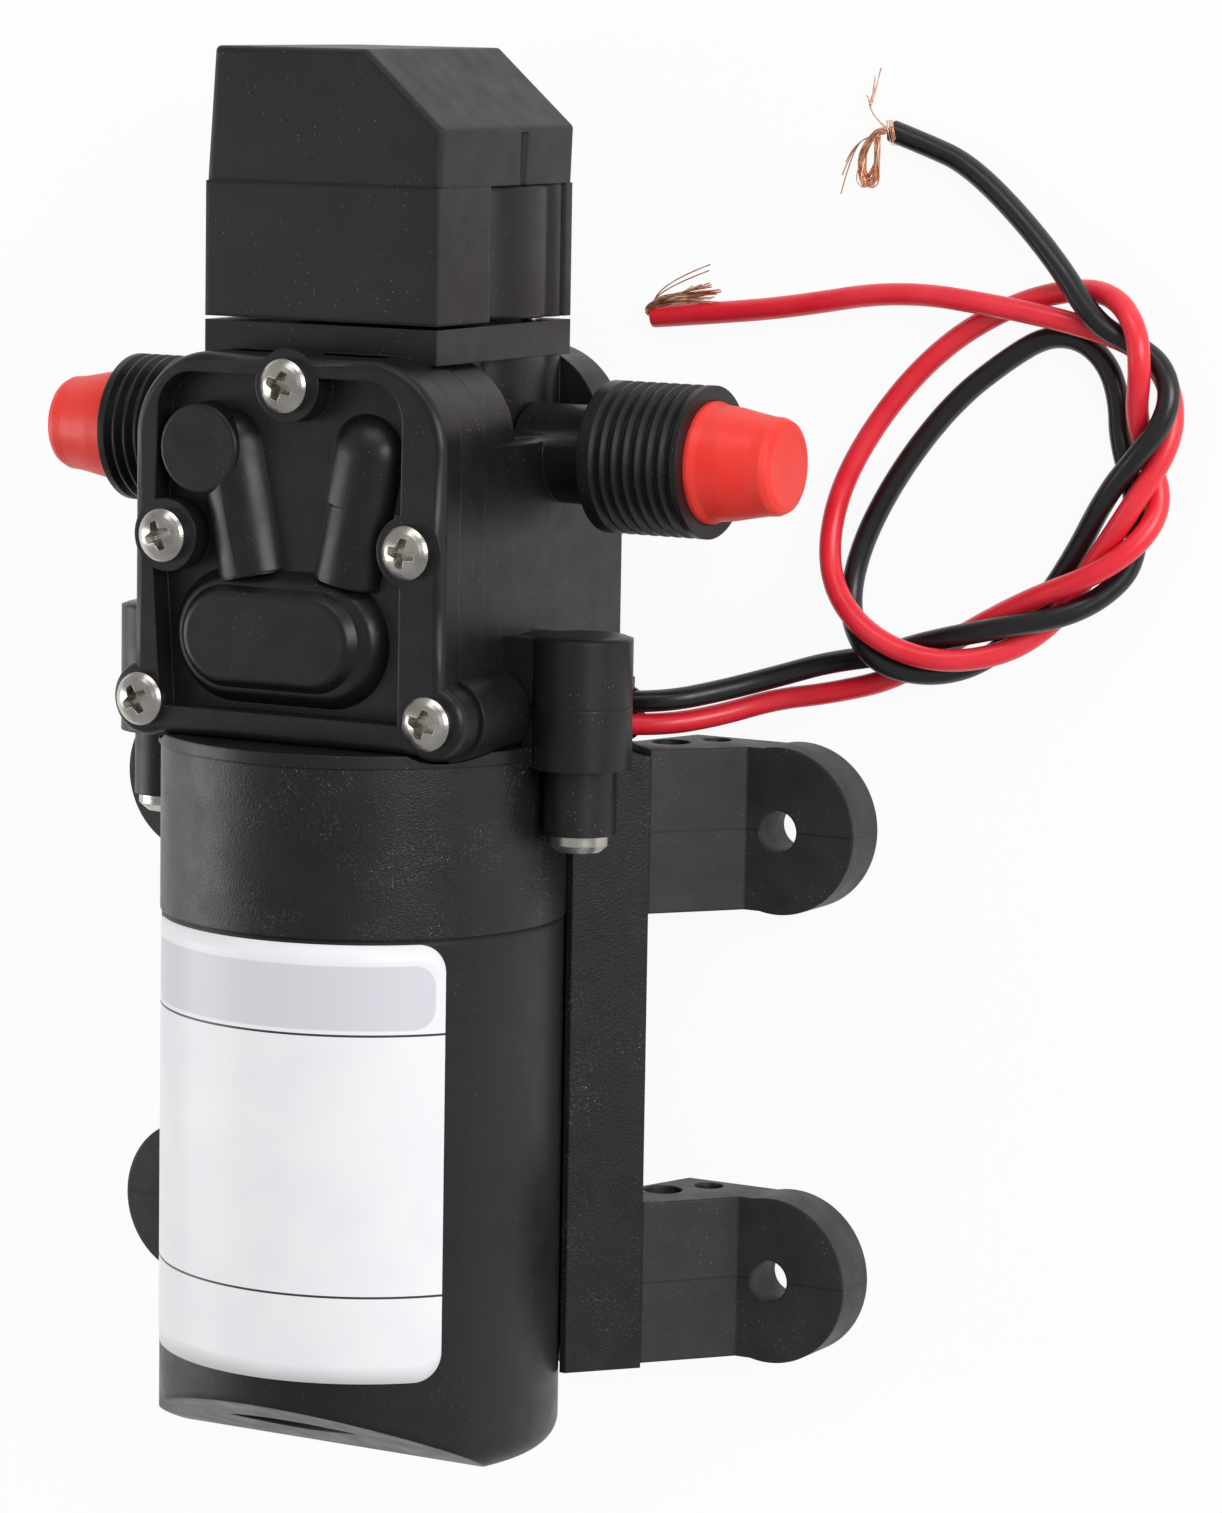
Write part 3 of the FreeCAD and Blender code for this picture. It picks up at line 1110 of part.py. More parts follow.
# Pressure switch: housing with two rear screw columns, and a cover with a slanted corner.
switch_foot_y = above(size.switch_foot)
switch_seam_y = above(size.switch_seam)
switch_top_y = above(size.switch_top)
switch_rear_z = behind(size.switch_rear)
switch_front_z = before(size.switch_front)
switch_z = behind(size.switch_centre)
housing_box = block("switch_box", (-size.switch_half, size.switch_half), (switch_foot_y, switch_seam_y),
                    (switch_rear_z, switch_front_z))
notches = []
columns = []
for side in SIDES:
    low, high = sorted((side * size.notch_half, side * (size.switch_half + 1)), key=lambda v: v.value)
    notches.append(block("rear_notch", (low, high), (switch_foot_y - 1, switch_seam_y + 1),
                         (switch_rear_z + size.switch_wall, behind(size.notch_front))))
    columns.append(cylinder("switch_column", size.column_radius, size.switch_seam - size.switch_foot,
                            (side * size.column_x, switch_foot_y, behind(size.column_behind)), TO_SWITCH))
switch_solid = fuse("switch_solid", [cut("switch_notched", housing_box, notches)] + columns)
room_half = size.notch_half - size.switch_wall
room_rear_z = switch_rear_z + size.switch_wall
room_front_z = switch_front_z - size.switch_wall
guide_y = above(size.switch_foot + 9.5)
switch_cuts = [
    block("switch_room", (-size.column_x + size.column_radius + 0.2, size.column_x - size.column_radius - 0.2),
          (guide_y + 2.0, switch_seam_y + 1), (room_rear_z, room_front_z)),
    cylinder("spring_room", size.plunger_foot + 0.4, guide_y - switch_foot_y + 1,
             (0, switch_foot_y - 1, switch_z), TO_SWITCH),
    cylinder("plunger_guide", size.plunger_radius + size.running_gap, 6, (0, guide_y - 1, switch_z), TO_SWITCH)]
for side in SIDES:
    switch_cuts.append(cylinder("column_bore", size.column_screw + size.screw_gap,
                                size.switch_seam - size.switch_foot + 2,
                                (side * size.column_x, switch_foot_y - 1, behind(size.column_behind)), TO_SWITCH))
NODES["switch_housing"] = cut("switch_housing", switch_solid, switch_cuts)
NODES["switch_diaphragm"] = cylinder("switch_diaphragm", size.pressure_radius + 1.6,
                                     size.switch_foot - size.switch_base,
                                     (0, above(size.switch_base), switch_z), TO_SWITCH)
cap_body, cap_planes = new_body("cap_form")
cap_outline = [(-size.switch_half, switch_seam_y), (size.switch_half, switch_seam_y),
               (size.switch_half + 0.3, above(size.slant_level)), (size.slant_x, switch_top_y),
               (-size.switch_half + 1.2, switch_top_y)]
pad_between(cap_body, cap_planes, "XY", lambda s: draw_polygon(s, cap_outline), switch_rear_z, switch_front_z)
seam_limit = switch_seam_y.value
round_edges(cap_body, size.switch_edge, lambda e: not level(e, "y", seam_limit))
inset = size.switch_wall
cap_room = prism("cap_room", "XY", [
    (-size.switch_half + inset, switch_seam_y - 1), (size.switch_half - inset, switch_seam_y - 1),
    (size.switch_half - inset, above(size.slant_level) - inset * 0.6),
    (size.slant_x - inset * 0.4, switch_top_y - inset), (-size.switch_half + inset + 1.2, switch_top_y - inset)],
    room_rear_z, room_front_z)
cap_shell = cut("cap_shell", cap_body, [cap_room, cylinder(
    "cap_groove", 1.2, size.slant_level - size.switch_seam - 0.4,
    (size.switch_half + 0.9, switch_seam_y - 0.2, behind(9.2)), TO_SWITCH)])
posts = []
for side in SIDES:
    posts.append(cylinder("cap_post", size.column_radius - 0.6, size.slant_level - size.switch_seam - 2.5,
                          (side * (size.column_x - 0.2), switch_seam_y, behind(size.column_behind - 0.6)), TO_SWITCH))
NODES["switch_cover"] = cut("switch_cover", fuse("cap_solid", [cap_shell] + posts), [
    cylinder("post_hole", size.column_screw + size.screw_gap, 5.5,
             (side * size.column_x, switch_seam_y - 1, behind(size.column_behind)), TO_SWITCH) for side in SIDES])
column_screws = []
for side in SIDES:
    at = (side * size.column_x, above(size.column_end - 1) + 0.5, behind(size.column_behind))
    column_screws.append(fuse("column_screw", [
        cylinder("column_screw_head", size.column_screw * 2 - 0.1, 2.0, at, TO_SWITCH),
        cylinder("column_screw_shank", size.column_screw, size.switch_seam - size.column_end + 4.0, at, TO_SWITCH)]))
NODES["switch_screws"] = group("switch_screws", column_screws)
plunger_top = guide_y + 4.6
plunger_foot_y = switch_foot_y + 0.05
NODES["switch_plunger"] = turned("switch_plunger", [
    (0, 0), (size.plunger_foot, 0), (size.plunger_foot, 1.4), (size.plunger_radius, 1.4),
    (size.plunger_radius, plunger_top - plunger_foot_y - 0.5),
    (size.plunger_radius - 0.5, plunger_top - plunger_foot_y), (0, plunger_top - plunger_foot_y)],
    (0, plunger_foot_y, switch_z), TO_SWITCH)
spring_low = plunger_foot_y + 1.4 + size.spring_wire
spring_high = guide_y - size.spring_wire
spring = doc.addObject("Part::Feature", "plunger_spring")
helix = Part.makeHelix((spring_high - spring_low).value / size.spring_turns.value,
                       (spring_high - spring_low).value, size.spring_radius.value)
ring = Part.Wire(Part.makeCircle(size.spring_wire.value, Vector(size.spring_radius.value, 0, 0), Vector(0, 1, 0)))
spring.Shape = Part.Wire(helix.Edges).makePipeShell([ring], True, True)
spring.Placement = Placement(Vector(0, spring_low.value, switch_z.value), TO_SWITCH)
NODES["plunger_spring"] = spring
button_y = plunger_top + 0.05
micro_y = button_y + 1.6
micro_front_z = switch_z + size.micro_width / 2
micro_rear_z = switch_z - size.micro_width / 2
NODES["microswitch"] = cut("microswitch", block(
    "micro_case", (-size.micro_length / 2, size.micro_length / 2), (micro_y, micro_y + size.micro_height),
    (micro_rear_z, micro_front_z)), [
    cylinder("button_room", size.button_radius + size.running_gap, 4, (0, micro_y - 1, switch_z), TO_SWITCH)]
    + [cylinder("micro_hole", 1.2, size.micro_width + 2,
                (side * 4.8, micro_y + 2.6, micro_rear_z - 1)) for side in SIDES])
NODES["microswitch_button"] = cylinder("microswitch_button", size.button_radius, 3.4,
                                       (0, button_y, switch_z), TO_SWITCH)
rests = []
for side in SIDES:
    post = block("micro_rest", (side * 4.8 - 2.2, side * 4.8 + 2.2), (guide_y + 2.0, micro_y),
                 (micro_rear_z, micro_front_z))
    rests.append(post)
NODES["microswitch_rests"] = group("microswitch_rests", rests)
terminals = []
for x in (-7.0, 0.0, 7.0):
    terminals.append(block("terminal", (x - 1.4, x + 1.4), (micro_y + size.micro_height,
                                                           micro_y + size.micro_height + 4.0),
                           (switch_z - 0.25, switch_z + 0.25)))
NODES["switch_terminals"] = group("switch_terminals", terminals)

# Red transport plugs in the ports.
for side, name in ((-1, "inlet_plug"), (1, "outlet_plug")):
    depth = size.mouth_depth - 0.6
    skirt = size.mouth_radius - size.running_gap
    bore = size.plug_end_radius - size.plug_wall
    end = depth + size.plug_length
    profile = [(bore, 0), (skirt, 0), (skirt, depth + 0.5), (skirt - 0.4, depth + 1.6),
               (skirt - 0.7, depth + 4.2), (size.plug_end_radius + 0.5, depth + 6.8),
               (size.plug_end_radius + 0.1, depth + 9.0), (size.plug_end_radius, end - 1.2),
               (size.plug_end_radius - 0.4, end - 0.35), (size.plug_end_radius - 1.3, end), (0, end),
               (0, end - size.plug_wall), (bore, end - size.plug_wall - 0.8)]
    NODES[name] = turned(name, profile, (side * (size.port_end - depth), ports, port_z),
                         TO_RIGHT if side > 0 else TO_LEFT)

# The two wires: each leaves the grommet, drops to the floor and lies there in a loose
# double loop, twisted once round the other. Points are in millimetres.
ROUTES = {
    "red_wire": [
        (32.8, 46.3, 12.3), (38.4, 47.5, 6.3), (44.8, 49.8, 1.8), (53.5, 51.3, 1.6), (63.6, 54.1, 1.6),
        (72.6, 60.4, 1.7), (85.0, 66.9, 5.2), (95.6, 71.0, 7.2), (101.5, 75.9, 4.6), (102.8, 81.2, 1.6),
        (100.5, 86.9, 1.7), (100.2, 92.9, 5.6), (102.4, 98.5, 9.4), (101.6, 104.6, 9.0), (96.8, 108.7, 5.6),
        (89.4, 109.2, 2.2), (79.4, 106.5, 1.6), (69.0, 100.2, 1.6), (60.2, 90.5, 1.9), (54.3, 79.2, 3.3),
        (54.5, 68.4, 6.0), (61.1, 61.2, 8.5), (71.3, 57.5, 8.5), (81.4, 58.8, 6.0), (88.0, 63.7, 2.7),
        (93.6, 72.1, 3.1), (100.3, 80.7, 5.9), (105.1, 89.5, 3.8), (103.6, 96.7, 1.6), (99.2, 101.6, 1.9),
        (92.5, 104.3, 5.0), (81.1, 106.3, 5.3), (63.8, 108.0, 3.9), (46.1, 104.8, 2.4), (34.7, 103.5, 1.7),
        (24.2, 102.5, 1.6)],
    "black_wire": [
        (33.2, 49.7, 13.2), (39.0, 51.1, 7.5), (45.6, 53.2, 3.0), (52.9, 55.6, 1.7), (62.2, 57.4, 3.1),
        (70.1, 60.1, 5.4), (81.8, 63.0, 7.2), (90.7, 64.9, 6.9), (95.8, 67.9, 3.9), (99.1, 72.5, 1.6),
        (99.0, 81.0, 1.6), (96.3, 88.7, 1.6), (96.0, 94.4, 1.6), (94.2, 99.2, 1.6), (90.2, 102.4, 1.6),
        (85.2, 102.6, 1.6), (79.6, 99.4, 1.6), (71.4, 93.1, 1.6), (63.3, 83.1, 1.6), (57.6, 72.3, 2.0),
        (56.7, 63.1, 3.7), (62.3, 56.9, 7.4), (70.7, 55.2, 6.1), (77.5, 57.4, 2.0), (84.5, 64.6, 1.6),
        (89.9, 72.5, 1.7), (96.3, 82.1, 5.4), (101.4, 87.6, 7.0), (104.5, 91.5, 6.8), (105.5, 95.8, 6.0),
        (103.6, 99.8, 5.3), (99.7, 102.2, 5.4), (94.8, 105.0, 7.8), (89.2, 112.5, 7.3), (80.3, 120.1, 4.2),
        (72.6, 125.5, 2.4), (66.8, 127.6, 1.7), (61.0, 129.5, 1.6)],
}


def wire_path(points, name):
    """Straight runs joined by tangent arcs, each as large as its two runs allow."""
    edges = []
    start = points[0]
    radii = []
    for before_, here, after in zip(points, points[1:], points[2:]):
        back, ahead = here - before_, after - here
        turn = back.getAngle(ahead)
        reach = 0.45 * min(back.Length, ahead.Length)
        radii.append(reach / math.tan(turn / 2))
        back.normalize()
        ahead.normalize()
        enter, leave = here - back * reach, here + ahead * reach
        to_middle = ahead - back
        to_middle.normalize()
        bulge = radii[-1] / math.cos(turn / 2) - radii[-1]
        edges.append(Part.LineSegment(start, enter).toShape())
        edges.append(Part.Arc(enter, here + to_middle * bulge, leave).toShape())
        start = leave
    edges.append(Part.LineSegment(start, points[-1]).toShape())
    print("%s: smallest radii %s" % (name, ", ".join("%.1f" % r for r in sorted(radii)[:6])))
    return Part.Wire(edges)


def swept(path, radius):
    first = path.Edges[0]
    place = first.valueAt(first.FirstParameter)
    run = first.tangentAt(first.FirstParameter)
    circle = Part.Wire(Part.makeCircle(radius, place, run))
    return path.makePipeShell([circle], True, False)


pockets = []
for name, start in wire_starts.items():
    points = [Vector(*(as_size(v).value for v in start))] + [Vector(*p) for p in ROUTES[name]]
    pockets.append(cylinder(name + "_pocket", wire_radius + size.wire_slack, 3 * size.wire_seat,
                            start, Rotation(AXIS_Z, points[1] - points[0])))
    path = wire_path(points, name)
    feature = doc.addObject("Part::Feature", name)
    feature.Shape = swept(path, wire_radius.value)
    expected = math.pi * wire_radius.value ** 2 * path.Length
    print("%s: length %.1f mm, volume %.3f of section times length"
          % (name, path.Length, feature.Shape.Volume / expected))
    NODES[name] = feature

NODES["grommet"] = cut("grommet_with_pockets", grommet_solid, pockets)

# Bare copper strands at the two stripped ends, folded back in loose hooks.
STRANDS = {
    "red_wire_strands": [
        [(23.8, 102.5, 1.9), (22.9, 103.6, 3.0), (26.5, 105.2, 3.4), (31.5, 106.3, 2.6), (34.9, 107.0, 1.8)],
        [(23.8, 102.7, 1.3), (23.6, 104.8, 1.6), (28.0, 106.0, 1.8), (33.6, 107.6, 1.2)],
        [(23.8, 102.3, 2.3), (23.3, 103.0, 4.0), (28.5, 104.4, 4.3), (32.0, 105.3, 3.6)],
        [(23.8, 102.9, 1.0), (23.2, 105.0, 0.8), (27.5, 107.0, 0.9), (32.6, 110.0, 0.7)],
        [(23.8, 102.1, 2.1), (23.7, 103.6, 3.7), (29.6, 105.6, 3.2), (34.8, 105.8, 2.4)]],
    "black_wire_strands": [
        [(60.5, 129.7, 1.8), (59.0, 130.4, 2.8), (56.4, 127.2, 3.0), (56.2, 123.0, 2.0), (58.2, 122.4, 1.4)],
        [(60.4, 129.5, 1.2), (58.4, 129.8, 1.6), (55.6, 126.6, 1.6), (54.6, 123.8, 1.2), (55.4, 121.8, 0.8)],
        [(60.5, 129.9, 2.2), (59.4, 130.2, 3.8), (57.8, 126.8, 4.0), (58.6, 123.2, 2.6)],
        [(60.4, 129.9, 1.5), (58.4, 131.4, 1.8), (57.0, 134.4, 1.4), (58.4, 138.2, 0.9)],
        [(60.4, 129.4, 1.0), (57.6, 129.2, 0.9), (54.4, 127.0, 0.7), (52.6, 121.6, 0.6)]],
}
STRAND_RADIUS = 0.25
for name, strands in STRANDS.items():
    feature = doc.addObject("Part::Feature", name)
    feature.Shape = Part.makeCompound([swept(wire_path([Vector(*p) for p in strand], name), STRAND_RADIUS)
                                       for strand in strands])
    NODES[name] = feature

doc.recompute()
for node, obj in NODES.items():
    obj.Label = node
problems = [o.Name + " " + " ".join(o.State) for o in doc.Objects
            if "Invalid" in o.State or "Error" in o.State]
for node, obj in NODES.items():
    if obj.Shape.isNull() or not obj.Shape.isValid() or not obj.Shape.Solids:
        problems.append(node + " has no valid solid")
if problems:
    raise RuntimeError("; ".join(problems))
for node, obj in NODES.items():
    obj.Shape.exportStep("parts/%s.step" % node)
print("%d nodes, %d solids" % (len(NODES), sum(len(o.Shape.Solids) for o in NODES.values())))
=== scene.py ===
import math
import random

import bmesh
import bpy
from mathutils import Euler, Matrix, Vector


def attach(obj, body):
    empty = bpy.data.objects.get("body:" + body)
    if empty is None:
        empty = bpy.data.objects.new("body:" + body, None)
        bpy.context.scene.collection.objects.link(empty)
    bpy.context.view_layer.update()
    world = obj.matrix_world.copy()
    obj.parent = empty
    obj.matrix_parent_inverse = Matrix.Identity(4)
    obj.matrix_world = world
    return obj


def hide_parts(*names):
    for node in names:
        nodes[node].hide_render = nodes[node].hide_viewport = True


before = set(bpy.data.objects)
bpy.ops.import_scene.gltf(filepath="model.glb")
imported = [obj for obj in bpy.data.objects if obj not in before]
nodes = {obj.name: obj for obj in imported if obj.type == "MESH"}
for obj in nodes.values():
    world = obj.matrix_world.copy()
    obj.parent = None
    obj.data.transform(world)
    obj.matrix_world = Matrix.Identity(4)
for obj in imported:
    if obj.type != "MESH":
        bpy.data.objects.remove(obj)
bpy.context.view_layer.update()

# Lengths are in mm and become metres through MM.
MM = 0.001
AXIS_HEIGHT = 38.5          # motor axis above the floor
SHELL_RADIUS = 28.05        # motor shell
FOOT_HOLE_Y = 32.05         # foot holes, from the middle of the base


# Camera.
def set_camera():
    """Long lens, about 60 degrees above the floor and to the right of the pump."""
    lens = bpy.data.cameras.new("pump_camera")
    lens.sensor_width = 36
    lens.lens = 135.717
    lens.clip_start = 0.05
    lens.clip_end = 20
    camera = bpy.data.objects.new("pump_camera", lens)
    # Place in metres and turn in degrees, fitted to the view of the photograph.
    camera.location = (0.4116846, 0.1504767, 0.7061468)
    camera.rotation_euler = Euler([math.radians(a) for a in (-7.30312, 29.29744, 1.08170)])
    bpy.context.scene.collection.objects.link(camera)
    bpy.context.scene.camera = camera


set_camera()


# Node helpers.
def colour(code):
    """Linear colour of an sRGB hex code."""
    parts = [int(code[i:i + 2], 16) / 255 for i in (1, 3, 5)]
    return [p / 12.92 if p <= 0.04045 else ((p + 0.055) / 1.055) ** 2.4 for p in parts] + [1.0]


def repeat(size_mm):
    """Scale of a pattern whose features are size_mm across."""
    return 1000.0 / size_mm


def add(material, kind, feeds=None, **settings):
    """Adds a node, with its settings, and feeds its sockets from values or other nodes' sockets."""
    tree = material.node_tree
    node = tree.nodes.new(kind)
    for name, value in settings.items():
        setattr(node, name, value)
    for socket, value in (feeds or {}).items():
        if isinstance(value, bpy.types.NodeSocket):
            tree.links.new(value, node.inputs[socket])
        else:
            node.inputs[socket].default_value = value
    return node


def link(material, output, shader, socket):
    """Feeds one of a shader's sockets."""
    material.node_tree.links.new(output, shader.inputs[socket])


def maths(material, operation, *values):
    """Result of an operation on plain values or other nodes' sockets."""
    return add(material, "ShaderNodeMath", dict(enumerate(values)), operation=operation).outputs[0]


def blend(material, share, under, over):
    """A colour between two others."""
    return add(material, "ShaderNodeMix", {"Factor": share, 6: under, 7: over}, data_type="RGBA").outputs[2]


def position(material):
    """Position on the piece, in metres."""
    return add(material, "ShaderNodeTexCoord").outputs["Object"]


def surface(name, **values):
    """A new material and its surface shader, with the shader's plain values set."""
    material = bpy.data.materials.new(name)
    material.use_nodes = True
    shader = material.node_tree.nodes["Principled BSDF"]
    for socket, value in values.items():
        shader.inputs[socket.replace("_", " ")].default_value = value
    return material, shader


def drift(material, place, size_mm, deep, pale, detail=4.0):
    """Slow change of colour over a surface, between a deep tone and a pale one."""
    cloud = add(material, "ShaderNodeTexNoise", {"Vector": place, "Scale": repeat(size_mm), "Detail": detail})
    share = add(material, "ShaderNodeMapRange",
                {"Value": cloud.outputs["Fac"], "From Min": 0.32, "From Max": 0.68})
    return blend(material, share.outputs["Result"], colour(deep), colour(pale))


def uneven_gloss(material, place, size_mm, shiny, dull):
    """Roughness that wanders between a shiny and a dull value."""
    patch = add(material, "ShaderNodeTexNoise", {"Vector": place, "Scale": repeat(size_mm), "Detail": 4.0})
    gloss = add(material, "ShaderNodeMapRange",
                {"Value": patch.outputs["Fac"], "From Min": 0.3, "From Max": 0.7,
                 "To Min": shiny, "To Max": dull})
    return gloss.outputs["Result"]


def marks(material, place, under, tone, apart_mm, width_mm, strength, stretch=(1, 1, 1)):
    """Small separate marks over a colour, gathered in loose patches: dust grains, pale specks of painted
    glint, or drag marks where they are stretched."""
    pulled = add(material, "ShaderNodeMapping", {"Vector": place, "Scale": stretch})
    grains = add(material, "ShaderNodeTexVoronoi",
                 {"Vector": pulled.outputs["Vector"], "Scale": repeat(apart_mm)})
    near = add(material, "ShaderNodeMapRange",
               {"Value": grains.outputs["Distance"], "From Min": width_mm / apart_mm * 0.5,
                "From Max": width_mm / apart_mm, "To Min": strength, "To Max": 0.0})
    patch = add(material, "ShaderNodeTexNoise", {"Vector": place, "Scale": repeat(7), "Detail": 4.0})
    here = add(material, "ShaderNodeMapRange",
               {"Value": patch.outputs["Fac"], "From Min": 0.45, "From Max": 0.6})
    share = maths(material, "MULTIPLY", near.outputs["Result"], here.outputs["Result"])
    return blend(material, share, under, colour(tone))


def skin(material, shader, place, grain_mm, height_mm, edge_mm, stretch=(1, 1, 1)):
    """Fine relief of a surface, on edges that the mould or the tool left slightly round."""
    broken = add(material, "ShaderNodeBevel", {"Radius": edge_mm * MM}, samples=4)
    pulled = add(material, "ShaderNodeMapping", {"Vector": place, "Scale": stretch})
    grain = add(material, "ShaderNodeTexNoise",
                {"Vector": pulled.outputs["Vector"], "Scale": repeat(grain_mm), "Detail": 2.0})
    relief = add(material, "ShaderNodeBump",
                 {"Height": grain.outputs["Fac"], "Strength": 1.0, "Distance": height_mm * MM,
                  "Normal": broken.outputs["Normal"]})
    link(material, relief.outputs["Normal"], shader, "Normal")
    return relief


def ripple(material, shader, place, size_mm, strength):
    """Faint waves in a soft or laminated skin, 0.05 mm high."""
    wave = add(material, "ShaderNodeTexNoise", {"Vector": place, "Scale": repeat(size_mm), "Detail": 2.0})
    relief = add(material, "ShaderNodeBump",
                 {"Height": wave.outputs["Fac"], "Strength": strength, "Distance": 0.05 * MM})
    link(material, relief.outputs["Normal"], shader, "Normal")


# Wires.
# Both wires leave the grommet side by side, twist once and lie in a loose loop on the floor.
# The points are the control points of each wire's line, in mm.
RED_ROUTE = [
    (27.8, 46.25, 14.3),
    (32.8, 46.3, 12.3), (38.4, 47.5, 6.3), (44.8, 49.8, 1.8), (53.5, 51.3, 1.6), (63.6, 54.1, 1.6),
    (72.6, 60.4, 1.7), (85.0, 66.9, 5.2), (95.6, 71.0, 7.2), (101.5, 75.9, 4.6), (102.8, 81.2, 1.6),
    (100.5, 86.9, 1.7), (100.2, 92.9, 5.6), (102.4, 98.5, 9.4), (101.6, 104.6, 9.0), (96.8, 108.7, 5.6),
    (89.4, 109.2, 2.2), (79.4, 106.5, 1.6), (69.0, 100.2, 1.6), (60.2, 90.5, 1.9), (54.3, 79.2, 3.3),
    (54.5, 68.4, 6.0), (61.1, 61.2, 8.5), (71.3, 57.5, 8.5), (81.4, 58.8, 6.0), (88.0, 63.7, 2.7),
    (93.6, 72.1, 3.1), (100.3, 80.7, 5.9), (105.1, 89.5, 3.8), (103.6, 96.7, 1.6), (99.2, 101.6, 1.9),
    (92.5, 104.3, 5.0), (81.1, 106.3, 5.3), (63.8, 108.0, 3.9), (46.1, 104.8, 2.4), (34.7, 103.5, 1.7),
    (24.2, 102.5, 1.6),
]
BLACK_ROUTE = [
    (27.8, 49.45, 14.3),
    (33.2, 49.7, 13.2), (39.0, 51.1, 7.5), (45.6, 53.2, 3.0), (52.9, 55.6, 1.7), (62.2, 57.4, 3.1),
    (70.1, 60.1, 5.4), (81.8, 63.0, 7.2), (90.7, 64.9, 6.9), (95.8, 67.9, 3.9), (99.1, 72.5, 1.6),
    (99.0, 81.0, 1.6), (96.3, 88.7, 1.6), (96.0, 94.4, 1.6), (94.2, 99.2, 1.6), (90.2, 102.4, 1.6),
    (85.2, 102.6, 1.6), (79.6, 99.4, 1.6), (71.4, 93.1, 1.6), (63.3, 83.1, 1.6), (57.6, 72.3, 2.0),
    (56.7, 63.1, 3.7), (62.3, 56.9, 7.4), (70.7, 55.2, 6.1), (77.5, 57.4, 2.0), (84.5, 64.6, 1.6),
    (89.9, 72.5, 1.7), (96.3, 82.1, 5.4), (101.4, 87.6, 7.0), (104.5, 91.5, 6.8), (105.5, 95.8, 6.0),
    (103.6, 99.8, 5.3), (99.7, 102.2, 5.4), (94.8, 105.0, 7.8), (89.2, 112.5, 7.3), (80.3, 120.1, 4.2),
    (72.6, 125.5, 2.4), (66.8, 127.6, 1.7), (61.0, 129.5, 1.6),
]
WIRE_DIAMETER = 3.1
STRAND_RADIUS = 0.1


def round_lines(name, routes, finish, radius, along, around):
    """Round wires in one piece, each smooth between its own control points, with the number of steps
    along and around it."""
    lines = bpy.data.curves.new(name, "CURVE")
    lines.dimensions = "3D"
    for route in routes:
        spline = lines.splines.new("NURBS")
        spline.points.add(len(route) - 1)
        for point, place in zip(spline.points, route):
            point.co = (*(v * MM for v in place), 1)
        spline.order_u = 3
        spline.use_endpoint_u = True
        spline.resolution_u = along
    lines.bevel_depth = radius * MM
    lines.bevel_resolution = around
    lines.use_fill_caps = True
    lines.materials.append(finish)
    piece = bpy.data.objects.new(name, lines)
    bpy.context.scene.collection.objects.link(piece)
    return piece


def pvc_insulation(name, deep, pale):
    """Extruded soft PVC: glossy and even, with a faint waviness along it from the die."""
    material, shader = surface(name, IOR=1.53)
    place = position(material)
    link(material, drift(material, place, 9, deep, pale), shader, "Base Color")
    link(material, uneven_gloss(material, place, 2, 0.27, 0.4), shader, "Roughness")
    ripple(material, shader, place, 2.5, 0.5)
    return material


def drawn_copper(name):
    """Fine bare copper strands: bright pink-orange metal, browner in patches where fingers touched it."""
    material, shader = surface(name, Metallic=1.0)
    place = position(material)
    link(material, drift(material, place, 1.4, "#e39a72", "#ffdcc4"), shader, "Base Color")
    link(material, uneven_gloss(material, place, 1.4, 0.24, 0.42), shader, "Roughness")
    return material


def scatter(dice, point, spread):
    """A point moved a little at random."""
    return tuple(v + dice.uniform(-spread, spread) for v in point)


def red_strand_paths():
    """The red wire's strands fold back over its end and lie along it as a flat fan."""
    dice = random.Random(5)
    paths = []
    for _ in range(30):
        side = dice.uniform(-1, 1)
        reach = dice.uniform(30.5, 35.2)
        paths.append([
            scatter(dice, (24.6, 102.5, 1.65), 0.5),
            scatter(dice, (23.6, 103.0, 2.2), 0.35),
            scatter(dice, (23.6, 103.9 + 0.3 * side, 2.9), 0.4),
            scatter(dice, (26.3, 104.9 + 0.5 * side, 3.2), 0.35),
            scatter(dice, (29.3, 105.6 + 0.8 * side, 3.0), 0.35),
            (reach, 106.3 + 1.3 * side + dice.uniform(-0.4, 0.4), dice.uniform(1.4, 3.2))])
    for height in (107.9, 109.6, 110.4):
        paths.append([(24.6, 102.7, 1.7), (23.4, 104.4, 2.0), (27.2, height - 2.4, 1.6),
                      scatter(dice, (32.4, height - 0.4, 0.9), 0.3)])
    return paths


